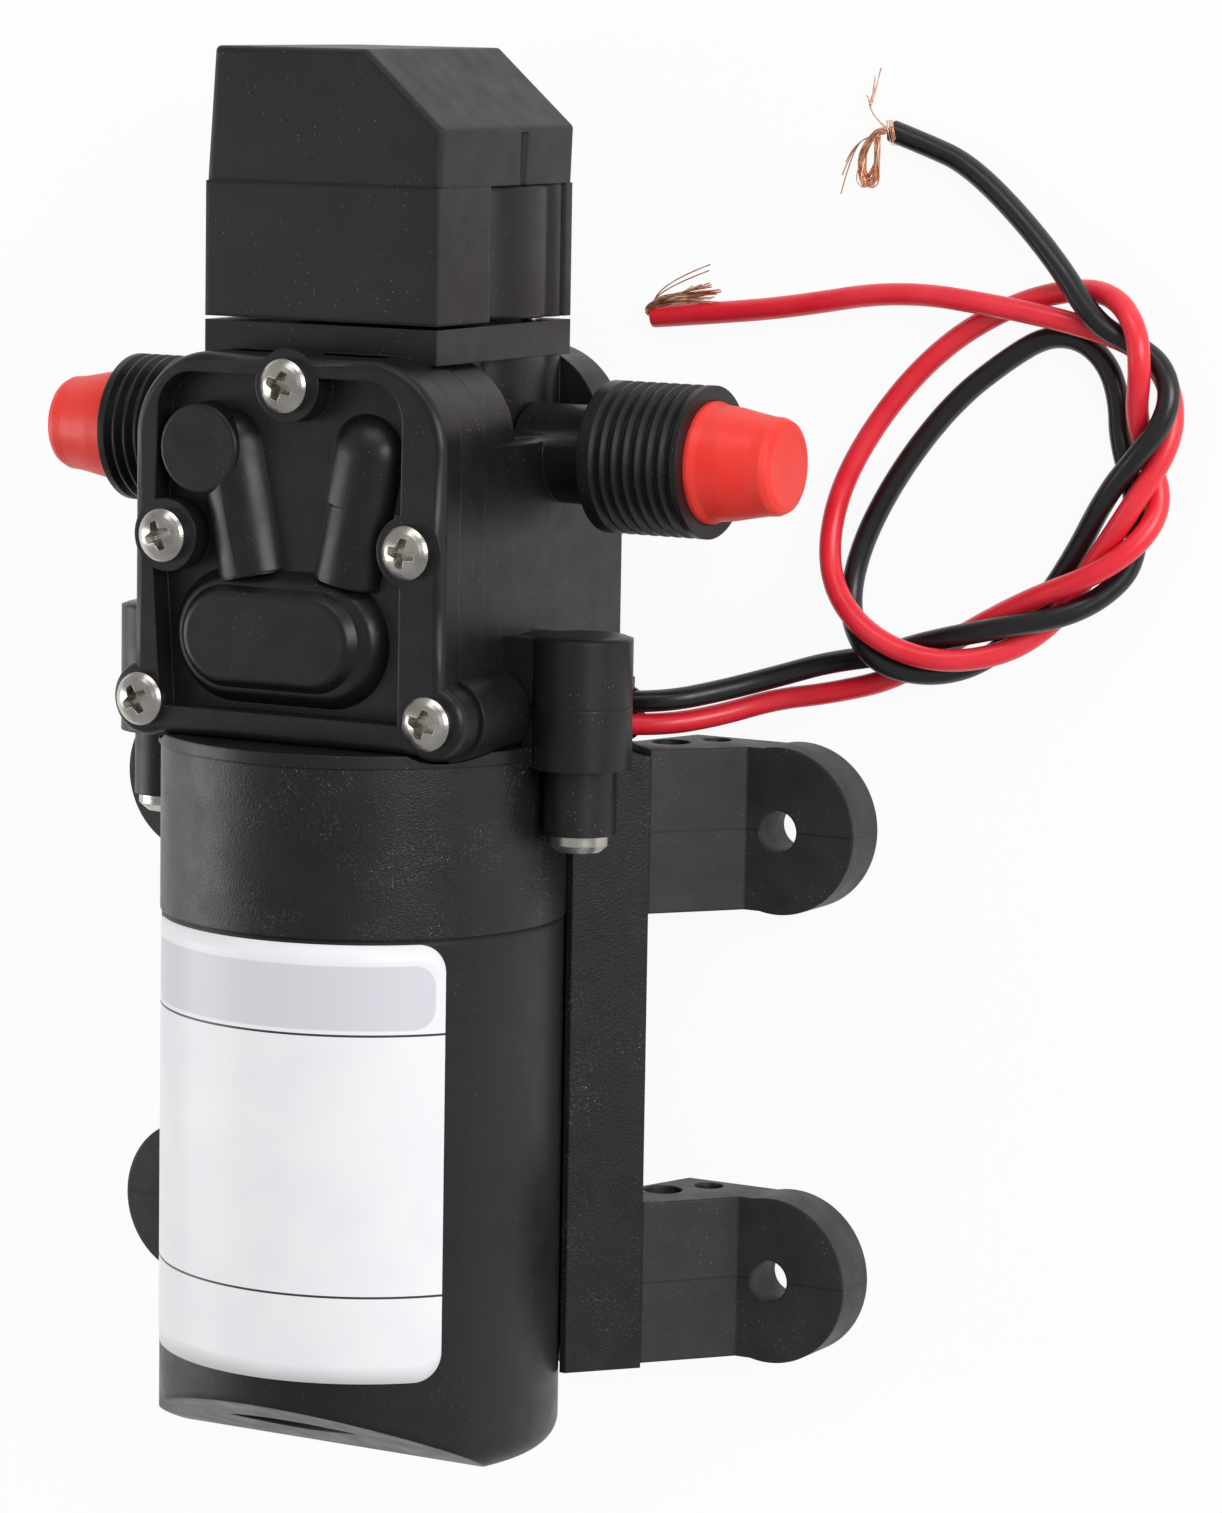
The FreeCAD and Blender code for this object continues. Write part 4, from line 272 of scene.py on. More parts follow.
def black_strand_paths():
    """The black wire's strands are wrapped once round its end and hang in a knot of small loops."""
    dice = random.Random(11)
    paths = []
    for _ in range(26):
        wide = dice.uniform(0.4, 1.6)
        deep = dice.uniform(121.6, 123.4)
        lean = dice.uniform(-0.5, 0.5)
        paths.append([
            scatter(dice, (61.6, 129.3, 1.7), 0.5),
            scatter(dice, (60.0, 130.0, 2.3), 0.4),
            scatter(dice, (58.6, 129.2, 2.6), 0.4),
            (57.4 - 0.5 * wide, 126.4 + dice.uniform(-0.5, 0.5), dice.uniform(1.6, 3.6)),
            (56.7 - 0.4 * wide + lean, deep + 1.2, dice.uniform(1.0, 3.0)),
            (57.2 + lean, deep - 0.3, dice.uniform(0.7, 2.2)),
            (58.1 + 0.4 * wide + lean, deep + 0.8, dice.uniform(0.9, 2.6)),
            (58.9 + 0.3 * wide, 126.2 + dice.uniform(-0.8, 0.8), dice.uniform(1.4, 3.2)),
            scatter(dice, (59.2, 128.4, 2.7), 0.5)])
    for _ in range(7):
        turn = dice.uniform(-0.5, 0.5)
        paths.append([(60.4 + turn, 130.9, 1.4), (61.0 + turn, 131.1, 2.9), (61.5 + turn, 129.8, 3.5),
                      (61.7 + turn, 128.2, 3.0), (61.2 + turn, 127.6, 1.5)])
    for end in ((58.6, 138.0, 0.9), (57.9, 136.9, 1.2), (58.1, 135.6, 1.0), (56.6, 134.2, 1.1)):
        paths.append([scatter(dice, (60.6, 129.6, 1.7), 0.3), (58.9, 130.7, 1.8),
                      (57.4, 132.4, 1.6), (57.0 + 0.2 * (end[1] - 134), 134.0, 1.3), end])
    for end in ((52.7, 120.6, 0.6), (52.9, 123.2, 0.7), (53.4, 125.0, 0.7)):
        paths.append([scatter(dice, (60.6, 129.4, 1.7), 0.3), (57.8, 128.9, 1.9), (54.8, 127.2, 1.3), end])
    return paths


red_insulation = pvc_insulation("red_pvc_insulation", "#f02034", "#fc3a48")
black_insulation = pvc_insulation("black_pvc_insulation", "#121214", "#1b1b1e")
copper = drawn_copper("drawn_copper_strand")

red_wire = round_lines("red_lead", [RED_ROUTE], red_insulation, WIRE_DIAMETER / 2, 10, 6)
black_wire = round_lines("black_lead", [BLACK_ROUTE], black_insulation, WIRE_DIAMETER / 2, 10, 6)
red_copper = round_lines("red_lead_copper", red_strand_paths(), copper, STRAND_RADIUS, 6, 2)
black_copper = round_lines("black_lead_copper", black_strand_paths(), copper, STRAND_RADIUS, 6, 2)
for piece, node, slot in ((red_wire, "red_wire", "red_wire"), (black_wire, "black_wire", "black_wire"),
                          (red_copper, "red_wire_strands", "copper_strand"),
                          (black_copper, "black_wire_strands", "copper_strand")):
    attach(piece, "pump")
    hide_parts(node)


# Finishes.
def moulded(name, deep, pale, shiny, cloud_mm, grain_mm, height_mm, edge_mm=0.35, ior=1.41, dust=0.75,
             painted_glints=0.0):
    """Injection moulded black plastic or rubber: faint flow clouds, the mould's own grain, edges that catch
    the light, a few pale dust grains and short drag marks from the draw of the mould, and on an eroded mould
    pale specks of painted glint. The grain scatters part of the light that a polished skin would mirror, so
    the index of refraction is set low."""
    material, shader = surface(name, IOR=ior)
    place = position(material)
    body = drift(material, place, cloud_mm, deep, pale)
    if painted_glints:
        # Painted glints: pale specks stand in for light sparkling off the eroded grain. Sparkles of an eroded
        # mould are finer; they are drawn 0.24 mm across to show.
        body = marks(material, place, body, "#7d7d7f", 0.6, 0.24, painted_glints)
    # Dust grains are 0.05 mm and less; they are drawn 0.1 mm across to show.
    dusty = marks(material, place, body, "#8f8d8c", 0.9, 0.1, dust)
    dragged = marks(material, place, dusty, "#6a6a6d", 1.9, 0.09, dust * 0.6, (1, 0.1, 1))
    link(material, dragged, shader, "Base Color")
    link(material, uneven_gloss(material, place, 4, shiny, shiny + 0.12), shader, "Roughness")
    skin(material, shader, place, grain_mm, height_mm, edge_mm)
    return material


def foot_moulding():
    """Soft rubber foot: dull, dusty, with a thin raised line where the two halves of its mould met,
    across the middle of the foot and through its hole."""
    material, shader = surface("moulded_foot_rubber", IOR=1.52)
    place = position(material)
    body = drift(material, place, 7, "#1d1c1d", "#2b2a2b")
    dusty = marks(material, place, body, "#8f8c8a", 0.8, 0.11, 0.6)
    across = add(material, "ShaderNodeSeparateXYZ", {"Vector": place}).outputs["Y"]
    away = maths(material, "ABSOLUTE", across)
    seam = maths(material, "COMPARE", away, FOOT_HOLE_Y * MM, 0.14 * MM)
    link(material, blend(material, seam, dusty, colour("#131313")), shader, "Base Color")
    link(material, uneven_gloss(material, place, 5, 0.46, 0.62), shader, "Roughness")
    relief = skin(material, shader, place, 0.7, 0.03, 0.6)
    raised = add(material, "ShaderNodeBump",
                 {"Height": seam, "Strength": 1.0, "Distance": 0.15 * MM, "Normal": relief.outputs["Normal"]})
    link(material, raised.outputs["Normal"], shader, "Normal")
    return material


def red_polyethylene():
    """Soft red polyethylene cap: waxy, a little light goes into it, dull from a quick moulding."""
    material, shader = surface("moulded_red_polyethylene", IOR=1.51, Subsurface_Weight=0.3,
                               Subsurface_Scale=1.5 * MM)
    shader.inputs["Subsurface Radius"].default_value = (1.0, 0.3, 0.2)
    place = position(material)
    link(material, drift(material, place, 6, "#ff3327", "#ff4337"), shader, "Base Color")
    link(material, uneven_gloss(material, place, 1.5, 0.36, 0.5), shader, "Roughness")
    skin(material, shader, place, 0.8, 0.015, 0.5)
    return material


def metal(name, deep, pale, shiny, stretch=(1, 1, 1), line_mm=0.5, height_mm=0.004):
    """Bare or plated metal: its tool marks run along the stretched axis and its colour drifts in patches."""
    material, shader = surface(name, Metallic=1.0)
    place = position(material)
    link(material, drift(material, place, 4, deep, pale), shader, "Base Color")
    link(material, uneven_gloss(material, place, 1.5, shiny, shiny + 0.12), shader, "Roughness")
    skin(material, shader, place, line_mm, height_mm, 0.15, stretch)
    return material


def plain_moulding(name, deep, pale, shiny, cloud_mm, ior=1.5):
    """Parts inside the pump: an even moulded or pressed skin with slight colour drift."""
    material, shader = surface(name, IOR=ior)
    place = position(material)
    link(material, drift(material, place, cloud_mm, deep, pale), shader, "Base Color")
    link(material, uneven_gloss(material, place, cloud_mm, shiny, shiny + 0.14), shader, "Roughness")
    skin(material, shader, place, 0.5, 0.01, 0.2)
    return material


def stacked_sheet_steel():
    """The armature's core: 0.5 mm sheets stacked along the shaft, so fine rings run round it."""
    material, shader = surface("stacked_sheet_steel", Metallic=1.0, Roughness=0.45)
    place = position(material)
    sheets = add(material, "ShaderNodeTexWave",
                 {"Vector": place, "Scale": repeat(0.5) / 6.28}, bands_direction="Y")
    tone = blend(material, sheets.outputs["Fac"], colour("#4b4b4d"), colour("#88888a"))
    link(material, tone, shader, "Base Color")
    relief = add(material, "ShaderNodeBump",
                 {"Height": sheets.outputs["Fac"], "Strength": 0.5, "Distance": 0.05 * MM})
    link(material, relief.outputs["Normal"], shader, "Normal")
    return material


# Glass filled nylon from a fine matt mould: satin, nearly neutral black with faint grey clouds.
nylon = moulded("moulded_glass_filled_nylon", "#151517", "#1c1c1e", 0.33, 14, 0.5, 0.012)
# The valve cover's mould is smoother, so its ribs carry cleaner highlights.
smooth_nylon = moulded("smooth_moulded_nylon", "#151517", "#1a1a1c", 0.3, 16, 0.6, 0.006, dust=0.5)
# The switch cap is from a slightly duller mould than the body.
switch_abs = moulded("moulded_black_abs", "#17171a", "#1e1e21", 0.38, 12, 0.45, 0.01, 0.9)
# Collar and base come from a spark-eroded mould: a fine sparkling grain of about 0.3 mm, whose sparkle is
# painted as pale glint specks.
eroded_abs = moulded("spark_eroded_black_abs", "#161617", "#1e1e20", 0.3, 10, 0.3, 0.06, dust=0.9,
                     painted_glints=0.12)
shell_abs = moulded("moulded_black_abs_tube", "#161618", "#1b1b1d", 0.36, 18, 0.4, 0.012, 1.6, dust=0.4)
grommet_rubber = moulded("moulded_grommet_rubber", "#121213", "#1a1a1b", 0.5, 6, 0.6, 0.02, 0.4, 1.52)
foot_rubber = foot_moulding()
red_caps = red_polyethylene()
nickel = metal("nickel_plated_steel", "#a8a49d", "#cdc9c2", 0.2)

FINISHES = [
    (nylon, "pump_body motor_housing microswitch microswitch_rests"),
    (smooth_nylon, "valve_cover"),
    (switch_abs, "switch_housing switch_cover"),
    (eroded_abs, "motor_collar base_bracket"),
    (shell_abs, "motor_shell"),
    (foot_rubber, "foot_lower_left foot_lower_right foot_upper_left foot_upper_right"),
    (grommet_rubber, "grommet"),
    (red_caps, "inlet_plug outlet_plug"),
    (nickel, "cover_screws tower_screws switch_screws clamp_screw clamp_washer"),
    (plain_moulding("moulded_epdm_rubber", "#141414", "#1f1f1f", 0.55, 5, 1.52),
     "diaphragm cover_gasket inlet_valve outlet_valve switch_diaphragm"),
    (plain_moulding("moulded_acetal", "#dedbd2", "#edebe4", 0.35, 8, 1.48),
     "valve_plate switch_plunger microswitch_button end_bell"),
    (plain_moulding("sintered_ferrite", "#2b2b2d", "#3a3a3c", 0.6, 3, 1.7), "magnets"),
    (plain_moulding("pressed_carbon", "#1c1c1c", "#2a2a2a", 0.55, 2, 1.6), "brushes"),
    (metal("die_cast_aluminium", "#9fa0a3", "#c2c3c6", 0.4), "connecting_rod"),
    (metal("turned_brass", "#b8924a", "#d4b06a", 0.25, (1, 12, 1)), "eccentric switch_terminals"),
    (metal("ground_bearing_steel", "#9b9b9c", "#c4c4c5", 0.2, (1, 12, 1)),
     "rod_bearing_inner rod_bearing_outer rod_bearing_balls upper_bearing front_bearing rear_bearing "
     "rotor_shaft brush_springs plunger_spring"),
    (metal("zinc_plated_drawn_steel", "#8f9193", "#b9bbbd", 0.35, (6, 0.6, 6)), "motor_can"),
    (metal("enamelled_copper_wire", "#8a3f1e", "#b9602e", 0.3, (4, 1, 4), 0.6, 0.03), "windings commutator"),
    (stacked_sheet_steel(), "armature_core"),
]
for finish, names in FINISHES:
    for name in names.split():
        nodes[name].data.materials.clear()
        nodes[name].data.materials.append(finish)


# Fine forms, cut out of the solid pieces or fitted on them.
def sweep(form, profile, place, way, steps=96):
    """Adds a closed ring to a form: the (radius, along) points of its profile, in mm, go round an axis
    that starts at place and runs along way."""
    turn = Vector(way).to_track_quat("Z", "Y")
    rings = []
    for radius, along in profile:
        ring = []
        for i in range(steps if radius > 0 else 1):
            angle = 2 * math.pi * i / steps
            spot = Vector((radius * math.cos(angle), radius * math.sin(angle), along))
            ring.append(form.verts.new((Vector(place) + turn @ spot) * MM))
        rings.append(ring)
    pairs = list(zip(rings, rings[1:]))
    if len(rings[0]) > 1:
        pairs.append((rings[-1], rings[0]))
    for low, high in pairs:
        for i in range(steps):
            j = (i + 1) % steps
            corners = [low[i % len(low)], low[j % len(low)], high[j % len(high)], high[i % len(high)]]
            form.faces.new(list(dict.fromkeys(corners)))


def outlines(form, rings):
    """Adds the points of some outlines, given in mm."""
    return [[form.verts.new(Vector(point) * MM) for point in ring] for ring in rings]


def band(form, low, high):
    """Adds the faces between two outlines with as many points."""
    for i in range(len(low)):
        j = (i + 1) % len(low)
        form.faces.new((low[i], low[j], high[j], high[i]))


def loft(form, rings):
    """Adds a solid between outlines that lie at their own heights: rings of (x, y, z) points, in mm."""
    made = outlines(form, rings)
    for low, high in zip(made, made[1:]):
        band(form, low, high)
    form.faces.new(list(reversed(made[0])))
    form.faces.new(made[-1])


def collar(form, rings):
    """Adds a closed collar whose outlines follow each other round its section."""
    made = outlines(form, rings)
    for low, high in zip(made, made[1:] + made[:1]):
        band(form, low, high)


def prism(form, outline, low, high):
    """Adds a solid with one outline of (x, y) points, between two heights."""
    loft(form, [[(x, y, z) for x, y in outline] for z in (low, high)])


def arc(centre, radius, start, end, steps=12):
    """Points on an arc, angles in degrees."""
    turns = [math.radians(start + (end - start) * i / steps) for i in range(steps + 1)]
    return [(centre[0] + radius * math.cos(a), centre[1] + radius * math.sin(a)) for a in turns]


def finished_form(name, form):
    """An object from a form; it isn't linked to the scene yet."""
    bmesh.ops.recalc_face_normals(form, faces=form.faces)
    mesh = bpy.data.meshes.new(name)
    form.to_mesh(mesh)
    form.free()
    return bpy.data.objects.new(name, mesh)


def fitted(name, form, finish):
    """A moulded detail that stands on the solid pieces: smooth where it curves, sharp at its edges."""
    piece = finished_form(name, form)
    piece.data.materials.append(finish)
    piece.data.shade_smooth()
    piece.data.set_sharp_from_angle(angle=math.radians(32))
    bpy.context.scene.collection.objects.link(piece)
    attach(piece, "pump")


def carve(node, cutter):
    """Cuts one form out of a piece of the pump."""
    cutting = nodes[node].modifiers.new(cutter.name, "BOOLEAN")
    cutting.operation = "DIFFERENCE"
    cutting.solver = "EXACT"
    cutting.object = cutter


PORT_Y, PORT_Z = 84.75, 25.7
THREAD_RADIUS = 10.48
THREAD_PITCH = 1.814        # half inch pipe thread
CREST_WIDTH = 0.3
FIRST_CREST = 33.2          # from the middle of the pump
GROOVES = 7
GROOVE_DEPTH = 1.0


def thread_grooves():
    """V grooves between the eight crests of each port thread. The rings stand for the thread's helix."""
    form = bmesh.new()
    over = 0.25             # how far the cutter's V reaches past the crests
    clear, outer = THREAD_RADIUS + over, THREAD_RADIUS + 1.5
    half = (THREAD_PITCH - CREST_WIDTH) / 2
    wide = half + over * half / GROOVE_DEPTH
    for side in (-1, 1):
        profile = [(outer, FIRST_CREST - 1.0)]
        for i in range(GROOVES):
            middle = FIRST_CREST + (i + 0.5) * THREAD_PITCH
            profile += [(clear, middle - wide + 0.01), (THREAD_RADIUS - GROOVE_DEPTH, middle),
                        (clear, middle + wide - 0.01)]
        profile.append((outer, FIRST_CREST + GROOVES * THREAD_PITCH + 1.0))
        sweep(form, profile, (0, PORT_Y, PORT_Z), (side, 0, 0), 128)
    return finished_form("thread_grooves", form)


# Middle of each cover screw, and the turn of its cross in degrees.
COVER_SCREWS = [(0, 94.75, 68), (-19.4, 73.45, 22), (19.4, 73.45, 80), (-22.9, 50.75, 30), (22.9, 50.75, 72)]
SCREW_TOP = 62.1
SCREW_RADIUS = 3.95
DOME_DROP = 1.7             # from the middle of a screw head to its rim


def screw_domes():
    """What is taken off the flat screw heads to leave low domes."""
    form = bmesh.new()
    dome = (SCREW_RADIUS ** 2 + DOME_DROP ** 2) / (2 * DOME_DROP)
    rim = SCREW_RADIUS + 0.4
    curve = []
    for i in range(9):
        radius = rim * i / 8
        curve.append((radius, dome - math.sqrt(dome * dome - radius * radius)))
    profile = [(0, 1.5), (rim, 1.5)]
    profile += [(radius, -fall) for radius, fall in reversed(curve)]
    for x, y, _ in COVER_SCREWS:
        sweep(form, profile, (x, y, SCREW_TOP), (0, 0, 1), 64)
    return finished_form("screw_domes", form)


def screw_crosses():
    """Cross recesses of the cover screws: four arms, narrower at the foot."""
    form = bmesh.new()
    for x, y, turn in COVER_SCREWS:
        rings = []
        for height, arm, half in ((SCREW_TOP + 0.5, 2.5, 0.85), (SCREW_TOP - 1.9, 1.3, 0.42)):
            ring = []
            for quarter in range(4):
                angle = math.radians(turn + 90 * quarter)
                for reach, across in ((half, -half), (arm, -half * 0.75), (arm, half * 0.75)):
                    ring.append((x + reach * math.cos(angle) - across * math.sin(angle),
                                 y + reach * math.sin(angle) + across * math.cos(angle), height))
            rings.append(ring)
        loft(form, rings)
    return finished_form("screw_crosses", form)


TOWER_X, TOWER_TOP, TOWER_Z = 33.4, 60.95, 37.0


def tower_tops():
    """The closed, slightly domed tops of the two screw towers."""
    form = bmesh.new()
    profile = [(0, -1.2), (2.0, -1.2), (2.0, -0.1), (6.7, -0.1), (6.6, 0.1), (6.2, 0.3), (5.3, 0.42),
               (3.0, 0.5), (0, 0.5)]
    for side in (-1, 1):
        sweep(form, profile, (side * TOWER_X, TOWER_TOP, TOWER_Z), (0, 1, 0), 72)
    fitted("tower_tops", form, nylon)


def tower_webs():
    """Thick webs between the head and the towers, parted at the seam of the towers."""
    form = bmesh.new()
    for side in (-1, 1):
        for inner, low, high in ((22.0, 51.83, TOWER_TOP), (27.0, 43.4, 51.67)):
            near, far = sorted((side * inner, side * TOWER_X))
            prism(form, [(near, low), (far, low), (far, high), (near, high)], TOWER_Z - 5.2, TOWER_Z + 5.2)
    fitted("tower_webs", form, nylon)


FRONT_Z = 59.7              # front face of the valve cover
FIELD_Z = 56.1              # floor of its sunk field
BACK_Z = 54.9               # where cover and head meet
FIELD_CORNER = 5.5
CHANNEL_RADIUS = 5.6
CHANNEL_FOOT = (7.5, 68.25)     # ends of the right channel's middle line
CHANNEL_HEAD = (11.2, 85.75)


def field_corners():
    """What is taken off the cover: its sunk field gets round upper corners and a straight right side."""
    form = bmesh.new()
    left = [(-20.8, 89.2)] + arc((-15.3, 90.45), FIELD_CORNER, 180, 90) + [(-14.0, 95.95), (-17.0, 92.3)]
    right = [(12.4, 95.95)] + arc((12.7, 90.45), FIELD_CORNER, 90, 0)
    right += [(18.1, 78.4), (16.9, 78.4), (16.9, 89.4)]
    foot = [(10.9, 50.05), (18.0, 50.05)] + arc((19.4, 73.45), 5.03, 254, 190)
    foot += [(13.9, 68.2), (16.7, 61.6), (16.0, 55.5)]
    for outline in (left, right, foot):
        prism(form, outline, FIELD_Z + 0.01, FRONT_Z + 0.8)
    return finished_form("field_corners", form)


def stadium(middle, half, radius, height):
    """A long round outline at a height."""
    x, y = middle
    points = arc((x + half, y), radius, -90, 90, 24) + arc((x - half, y), radius, 90, 270, 24)
    return [(px, py, height) for px, py in points]


def chamber_ledge():
    """The stepped foot of the valve chamber, longer to the right than its top."""
    form = bmesh.new()
    steps = ((9.3, FIELD_Z - 0.3), (9.2, FIELD_Z + 0.1), (7.85, FRONT_Z - 1.65), (7.55, FRONT_Z - 1.38),
             (7.1, FRONT_Z - 1.3))
    loft(form, [stadium((-2.6, 60.15), 7.8, radius, height) for radius, height in steps])
    fitted("chamber_ledge", form, smooth_nylon)


def channel_backs():
    """The round backs of the two V channels; the right one swells over its upper part."""
    form = bmesh.new()
    # Each starts at a share of the channel's length; the swell lies a little further in.
    for side, radius, share, inward in ((-1, CHANNEL_RADIUS, 0.0, 0.0), (1, CHANNEL_RADIUS, 0.0, 0.0),
                                        (1, CHANNEL_RADIUS + 0.5, 0.58, 0.5)):
        start = [foot + (head - foot) * share for foot, head in zip(CHANNEL_FOOT, CHANNEL_HEAD)]
        low = Vector((side * start[0] - inward, start[1], FRONT_Z - radius))
        high = Vector((side * CHANNEL_HEAD[0] - inward, CHANNEL_HEAD[1], FRONT_Z - radius))
        run = high - low
        profile = [(0, 0), (radius - 0.3, 0), (radius, 0.3), (radius, run.length)]
        profile += [(radius * math.cos(math.radians(a)), run.length + radius * math.sin(math.radians(a)))
                    for a in range(10, 90, 10)]
        profile.append((0, run.length + radius))
        sweep(form, profile, low, run, 72)
    whole = list(form.verts) + list(form.edges) + list(form.faces)
    bmesh.ops.bisect_plane(form, geom=whole, plane_co=(0, 0, (FIELD_Z - 0.3) * MM), plane_no=(0, 0, 1),
                           clear_inner=True)
    bmesh.ops.holes_fill(form, edges=form.edges)
    fitted("channel_backs", form, smooth_nylon)


HEAD_TOP = 98.75
HEAD_CORNER = 12.0
FLANGE_BACK = BACK_Z - 6.5


def head_outline(width, low, high, corner, height):
    """Outline like the head's at a height: square below, rounded above."""
    points = [(-width, low), (width, low)] + arc((width - corner, high - corner), corner, 0, 90)
    points += arc((corner - width, high - corner), corner, 90, 180)
    return [(x, y, height) for x, y in points]


def head_flange():
    """Front flange of the head, as wide as the cover, a little proud of the head's sides."""
    form = bmesh.new()
    collar(form, [head_outline(24.6 - inset, 46.05 + inset, HEAD_TOP - inset, HEAD_CORNER - inset, height)
                  for inset, height in ((0.15, FLANGE_BACK), (0, FLANGE_BACK + 0.15), (0, BACK_Z),
                                        (1.5, BACK_Z), (1.5, FLANGE_BACK))])
    fitted("head_flange", form, nylon)


def flange_groove():
    """The parting groove behind the head's front flange, over both sides and the top."""
    form = bmesh.new()
    back = FLANGE_BACK - 0.6
    collar(form, [head_outline(24.1 + grow, 44.0, HEAD_TOP + grow, HEAD_CORNER + grow, height)
                  for grow, height in ((0.25, back), (0.25, FLANGE_BACK), (-0.7, FLANGE_BACK), (-0.7, back))])
    return finished_form("flange_groove", form)


COLUMN_EDGE = 18.5          # outer side of the columns, from the middle of the pump
COLUMN_Z, COLUMN_HALF = 25.6, 8.8


def screw_columns():
    """The broad round columns round the switch screws, on the switch and below it on the head."""
    form = bmesh.new()
    for side in (-1, 1):
        for wide, low, high in ((4.5, 103.05, 121.4), (4.2, 87.0, 102.45)):
            around = [(math.cos(math.radians(a)) * side, math.sin(math.radians(a))) for a in range(0, 360, 6)]
            middle = side * (COLUMN_EDGE - wide)
            loft(form, [[(middle + x * (wide - inset), y, COLUMN_Z + z * (COLUMN_HALF - inset))
                         for x, z in around]
                        for inset, y in ((0.3, low), (0, low + 0.3), (0, high - 0.3), (0.3, high))])
    fitted("screw_columns", form, switch_abs)


carve("pump_body", thread_grooves())
carve("pump_body", flange_groove())
carve("cover_screws", screw_domes())
carve("cover_screws", screw_crosses())
carve("valve_cover", field_corners())
tower_tops()
tower_webs()
chamber_ledge()
channel_backs()
head_flange()
screw_columns()


# Label.
def printed_vinyl(top, foot):
    """White vinyl label with a satin laminate: a pale grey field at its top and two thin printed rules,
    the lower one a little askew."""
    material, shader = surface("printed_white_vinyl", IOR=1.46, Roughness=0.36)
    place = position(material)
    paper = drift(material, place, 11, "#f3f4f8", "#fafafc", 2.0)
    axes = add(material, "ShaderNodeSeparateXYZ", {"Vector": place}).outputs
    # The grey field is 8.8 mm high with round corners of 3 mm, between the label's upper corners.
    height = maths(material, "ABSOLUTE", maths(material, "SUBTRACT", axes["Y"], (top - 7.3) * MM))
    beyond_y = maths(material, "MAXIMUM", maths(material, "SUBTRACT", height, 1.4 * MM), 0.0)
    depth = maths(material, "SUBTRACT", axes["Z"], AXIS_HEIGHT * MM)
    angle = maths(material, "ARCTAN2", axes["X"], depth)
    width = maths(material, "ABSOLUTE", maths(material, "MULTIPLY", angle, SHELL_RADIUS * MM))
    beyond_x = maths(material, "MAXIMUM", maths(material, "SUBTRACT", width, 22.5 * MM), 0.0)
    beyond = add(material, "ShaderNodeCombineXYZ", {"X": beyond_x, "Y": beyond_y})
    reach = add(material, "ShaderNodeVectorMath", {0: beyond.outputs[0]}, operation="LENGTH")
    field = add(material, "ShaderNodeMapRange",
                {"Value": reach.outputs["Value"], "From Min": 2.9 * MM, "From Max": 3.1 * MM,
                 "To Min": 1.0, "To Max": 0.0})
    toned = blend(material, field.outputs["Result"], paper, colour("#dcdde4"))
    rules = []
    for line_y, askew in ((top - 12.4, 0.0), (foot + 12.07, 0.007)):
        skewed = maths(material, "MULTIPLY_ADD", axes["X"], askew, axes["Y"])
        rules.append(maths(material, "COMPARE", skewed, line_y * MM, 0.16 * MM))
    printed = blend(material, maths(material, "MAXIMUM", *rules), toned, colour("#35353a"))
    link(material, printed, shader, "Base Color")
    ripple(material, shader, place, 6, 0.3)
    return material


def label(top, foot, half_angle, corner):
    """A sheet wrapped round the front of the shell, with rounded corners and the thickness of vinyl."""
    radius = SHELL_RADIUS + 0.03
    half = math.radians(half_angle) * radius
    columns, rows = 96, 24
    sheet = bmesh.new()
    grid = []
    for i in range(columns + 1):
        share = i / columns
        flat = half * math.sin((share - 0.5) * math.pi)
        into = max(0.0, abs(flat) - (half - corner))
        drop = corner - math.sqrt(max(0.0, corner * corner - into * into))
        turn = flat / radius
        column = []
        for j in range(rows + 1):
            y = foot + drop + (top - foot - 2 * drop) * j / rows
            column.append(sheet.verts.new((radius * math.sin(turn) * MM, y * MM,
                                           (AXIS_HEIGHT + radius * math.cos(turn)) * MM)))
        grid.append(column)
    for left, right in zip(grid, grid[1:]):
        for j in range(rows):
            sheet.faces.new((left[j], right[j], right[j + 1], left[j + 1]))
    mesh = bpy.data.meshes.new("motor_label")
    sheet.to_mesh(mesh)
    sheet.free()
    mesh.shade_smooth()
    piece = bpy.data.objects.new("motor_label", mesh)
    bpy.context.scene.collection.objects.link(piece)
    thick = piece.modifiers.new("vinyl_thickness", "SOLIDIFY")
    thick.thickness = 0.1 * MM
    thick.offset = 1.0
    mesh.materials.append(printed_vinyl(top, foot))
    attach(piece, "pump")


label(20.35, -40.05, 55, 4.0)


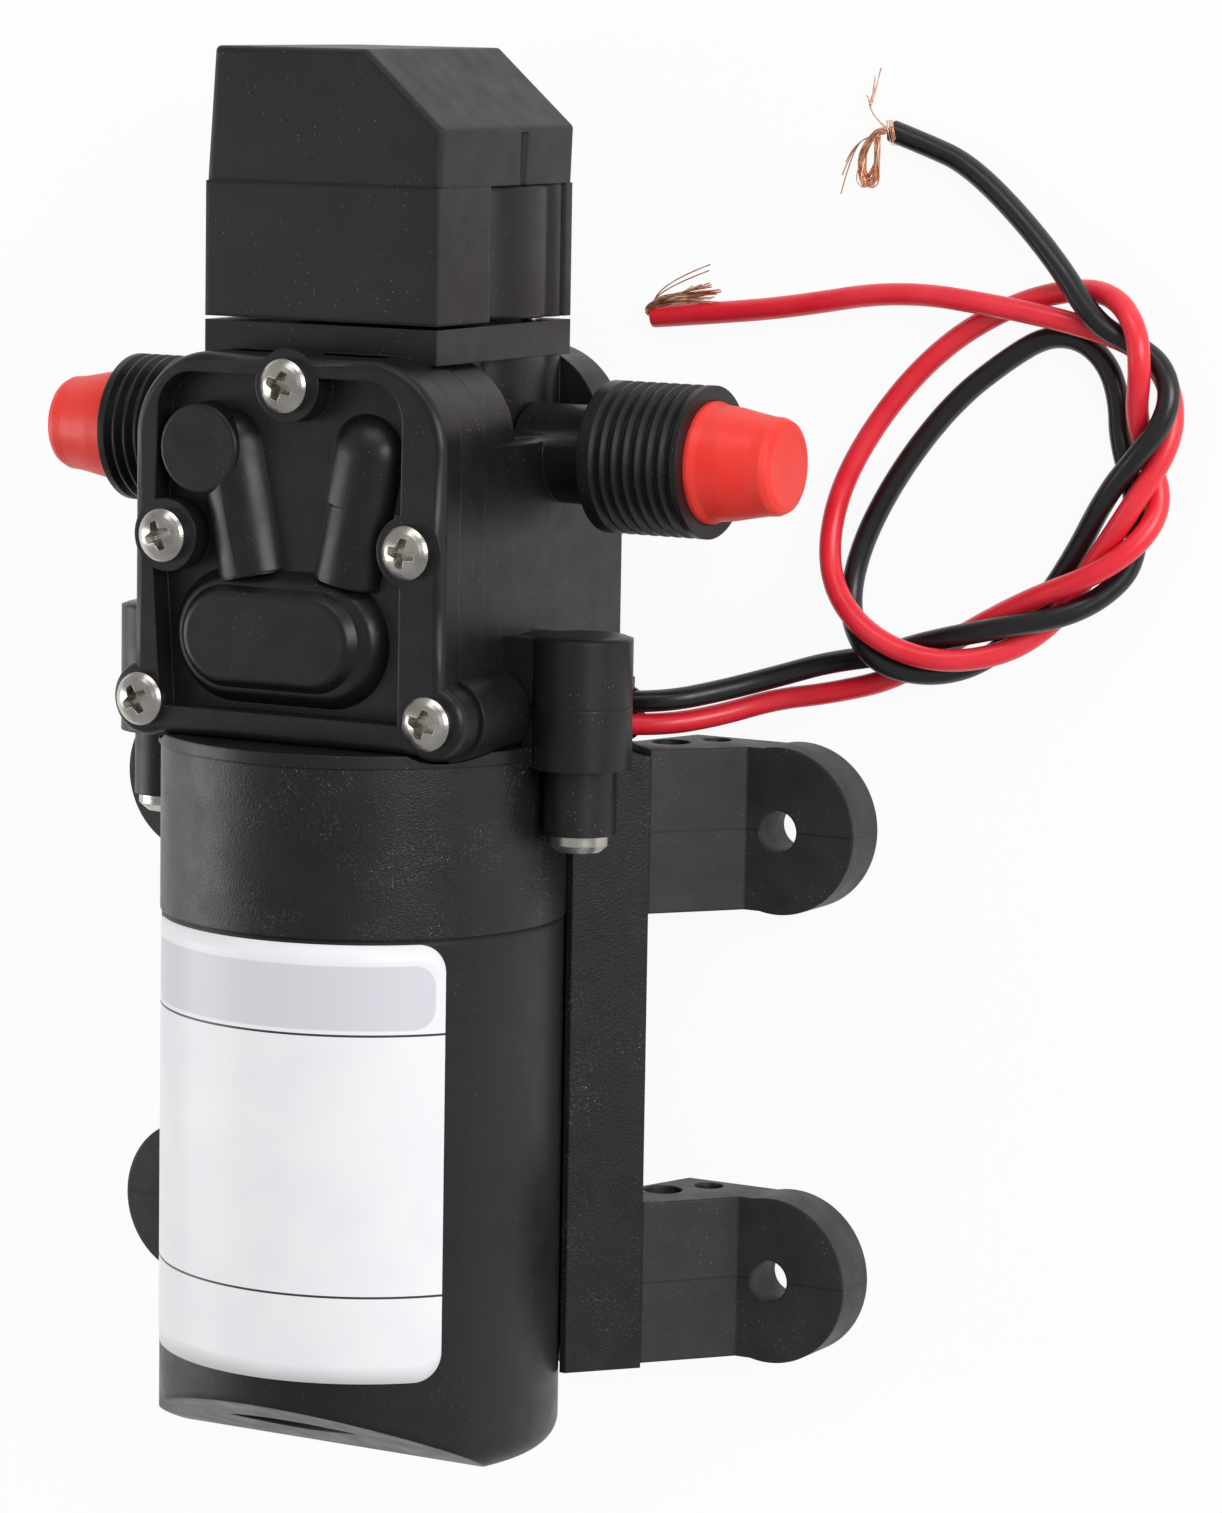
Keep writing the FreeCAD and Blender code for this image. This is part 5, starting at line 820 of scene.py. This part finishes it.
# Floor and light.
def floor():
    """A pale seamless floor that keeps a soft shadow and shows nearly white to the camera."""
    material, shader = surface("pale_paper_floor", Roughness=0.8)
    place = position(material)
    fibre = add(material, "ShaderNodeTexNoise", {"Vector": place, "Scale": repeat(30), "Detail": 2.0})
    tone = blend(material, fibre.outputs["Fac"], colour("#f6f6f6"), colour("#fcfcfc"))
    link(material, tone, shader, "Base Color")
    path = add(material, "ShaderNodeLightPath").outputs
    mirrored = maths(material, "MAXIMUM", path["Is Camera Ray"], path["Is Glossy Ray"])
    seen = maths(material, "MAXIMUM", mirrored, path["Is Transmission Ray"])
    # Where it is seen, 93 % of it is its own white, and the rest keeps the shadow.
    share = maths(material, "MULTIPLY", seen, 0.93)
    glow = add(material, "ShaderNodeEmission", {"Color": (1, 1, 1, 1), "Strength": 1.0})
    mix = add(material, "ShaderNodeMixShader", {0: share, 1: shader.outputs[0], 2: glow.outputs[0]})
    out = material.node_tree.nodes["Material Output"]
    material.node_tree.links.new(mix.outputs[0], out.inputs["Surface"])
    mesh = bpy.data.meshes.new("studio_floor")
    half = 4.0              # metres
    mesh.from_pydata([(-half, -half, 0), (half, -half, 0), (half, half, 0), (-half, half, 0)], [],
                     [(0, 1, 2, 3)])
    mesh.materials.append(material)
    piece = bpy.data.objects.new("studio_floor", mesh)
    bpy.context.scene.collection.objects.link(piece)


def softbox(name, direction, distance, size, power):
    """A rectangular light that looks at the middle of the pump; metres and watts."""
    light = bpy.data.lights.new(name, "AREA")
    light.shape = "RECTANGLE"
    light.size, light.size_y = size
    light.energy = power
    lamp = bpy.data.objects.new(name, light)
    aim = Vector((0.02, 0.045, 0.03))
    way = Vector(direction).normalized()
    lamp.location = aim + way * distance
    lamp.rotation_euler = (-way).to_track_quat("-Z", "Y").to_euler()
    bpy.context.scene.collection.objects.link(lamp)


def studio():
    """White surroundings and three softboxes; the key light comes from the right."""
    world = bpy.data.worlds.new("studio")
    world.use_nodes = True
    back = world.node_tree.nodes["Background"]
    back.inputs["Color"].default_value = (1, 1, 1, 1)
    back.inputs["Strength"].default_value = 0.42
    bpy.context.scene.world = world
    softbox("right_softbox", (0.85, 0.30, 0.52), 1.3, (0.55, 0.8), 9.0)
    softbox("far_softbox", (0.1, 0.9, 0.6), 1.3, (0.9, 0.4), 3.0)
    softbox("left_softbox", (-0.9, -0.1, 0.4), 1.3, (0.5, 0.9), 5.2)


floor()
studio()
bpy.context.scene.view_settings.view_transform = "Standard"
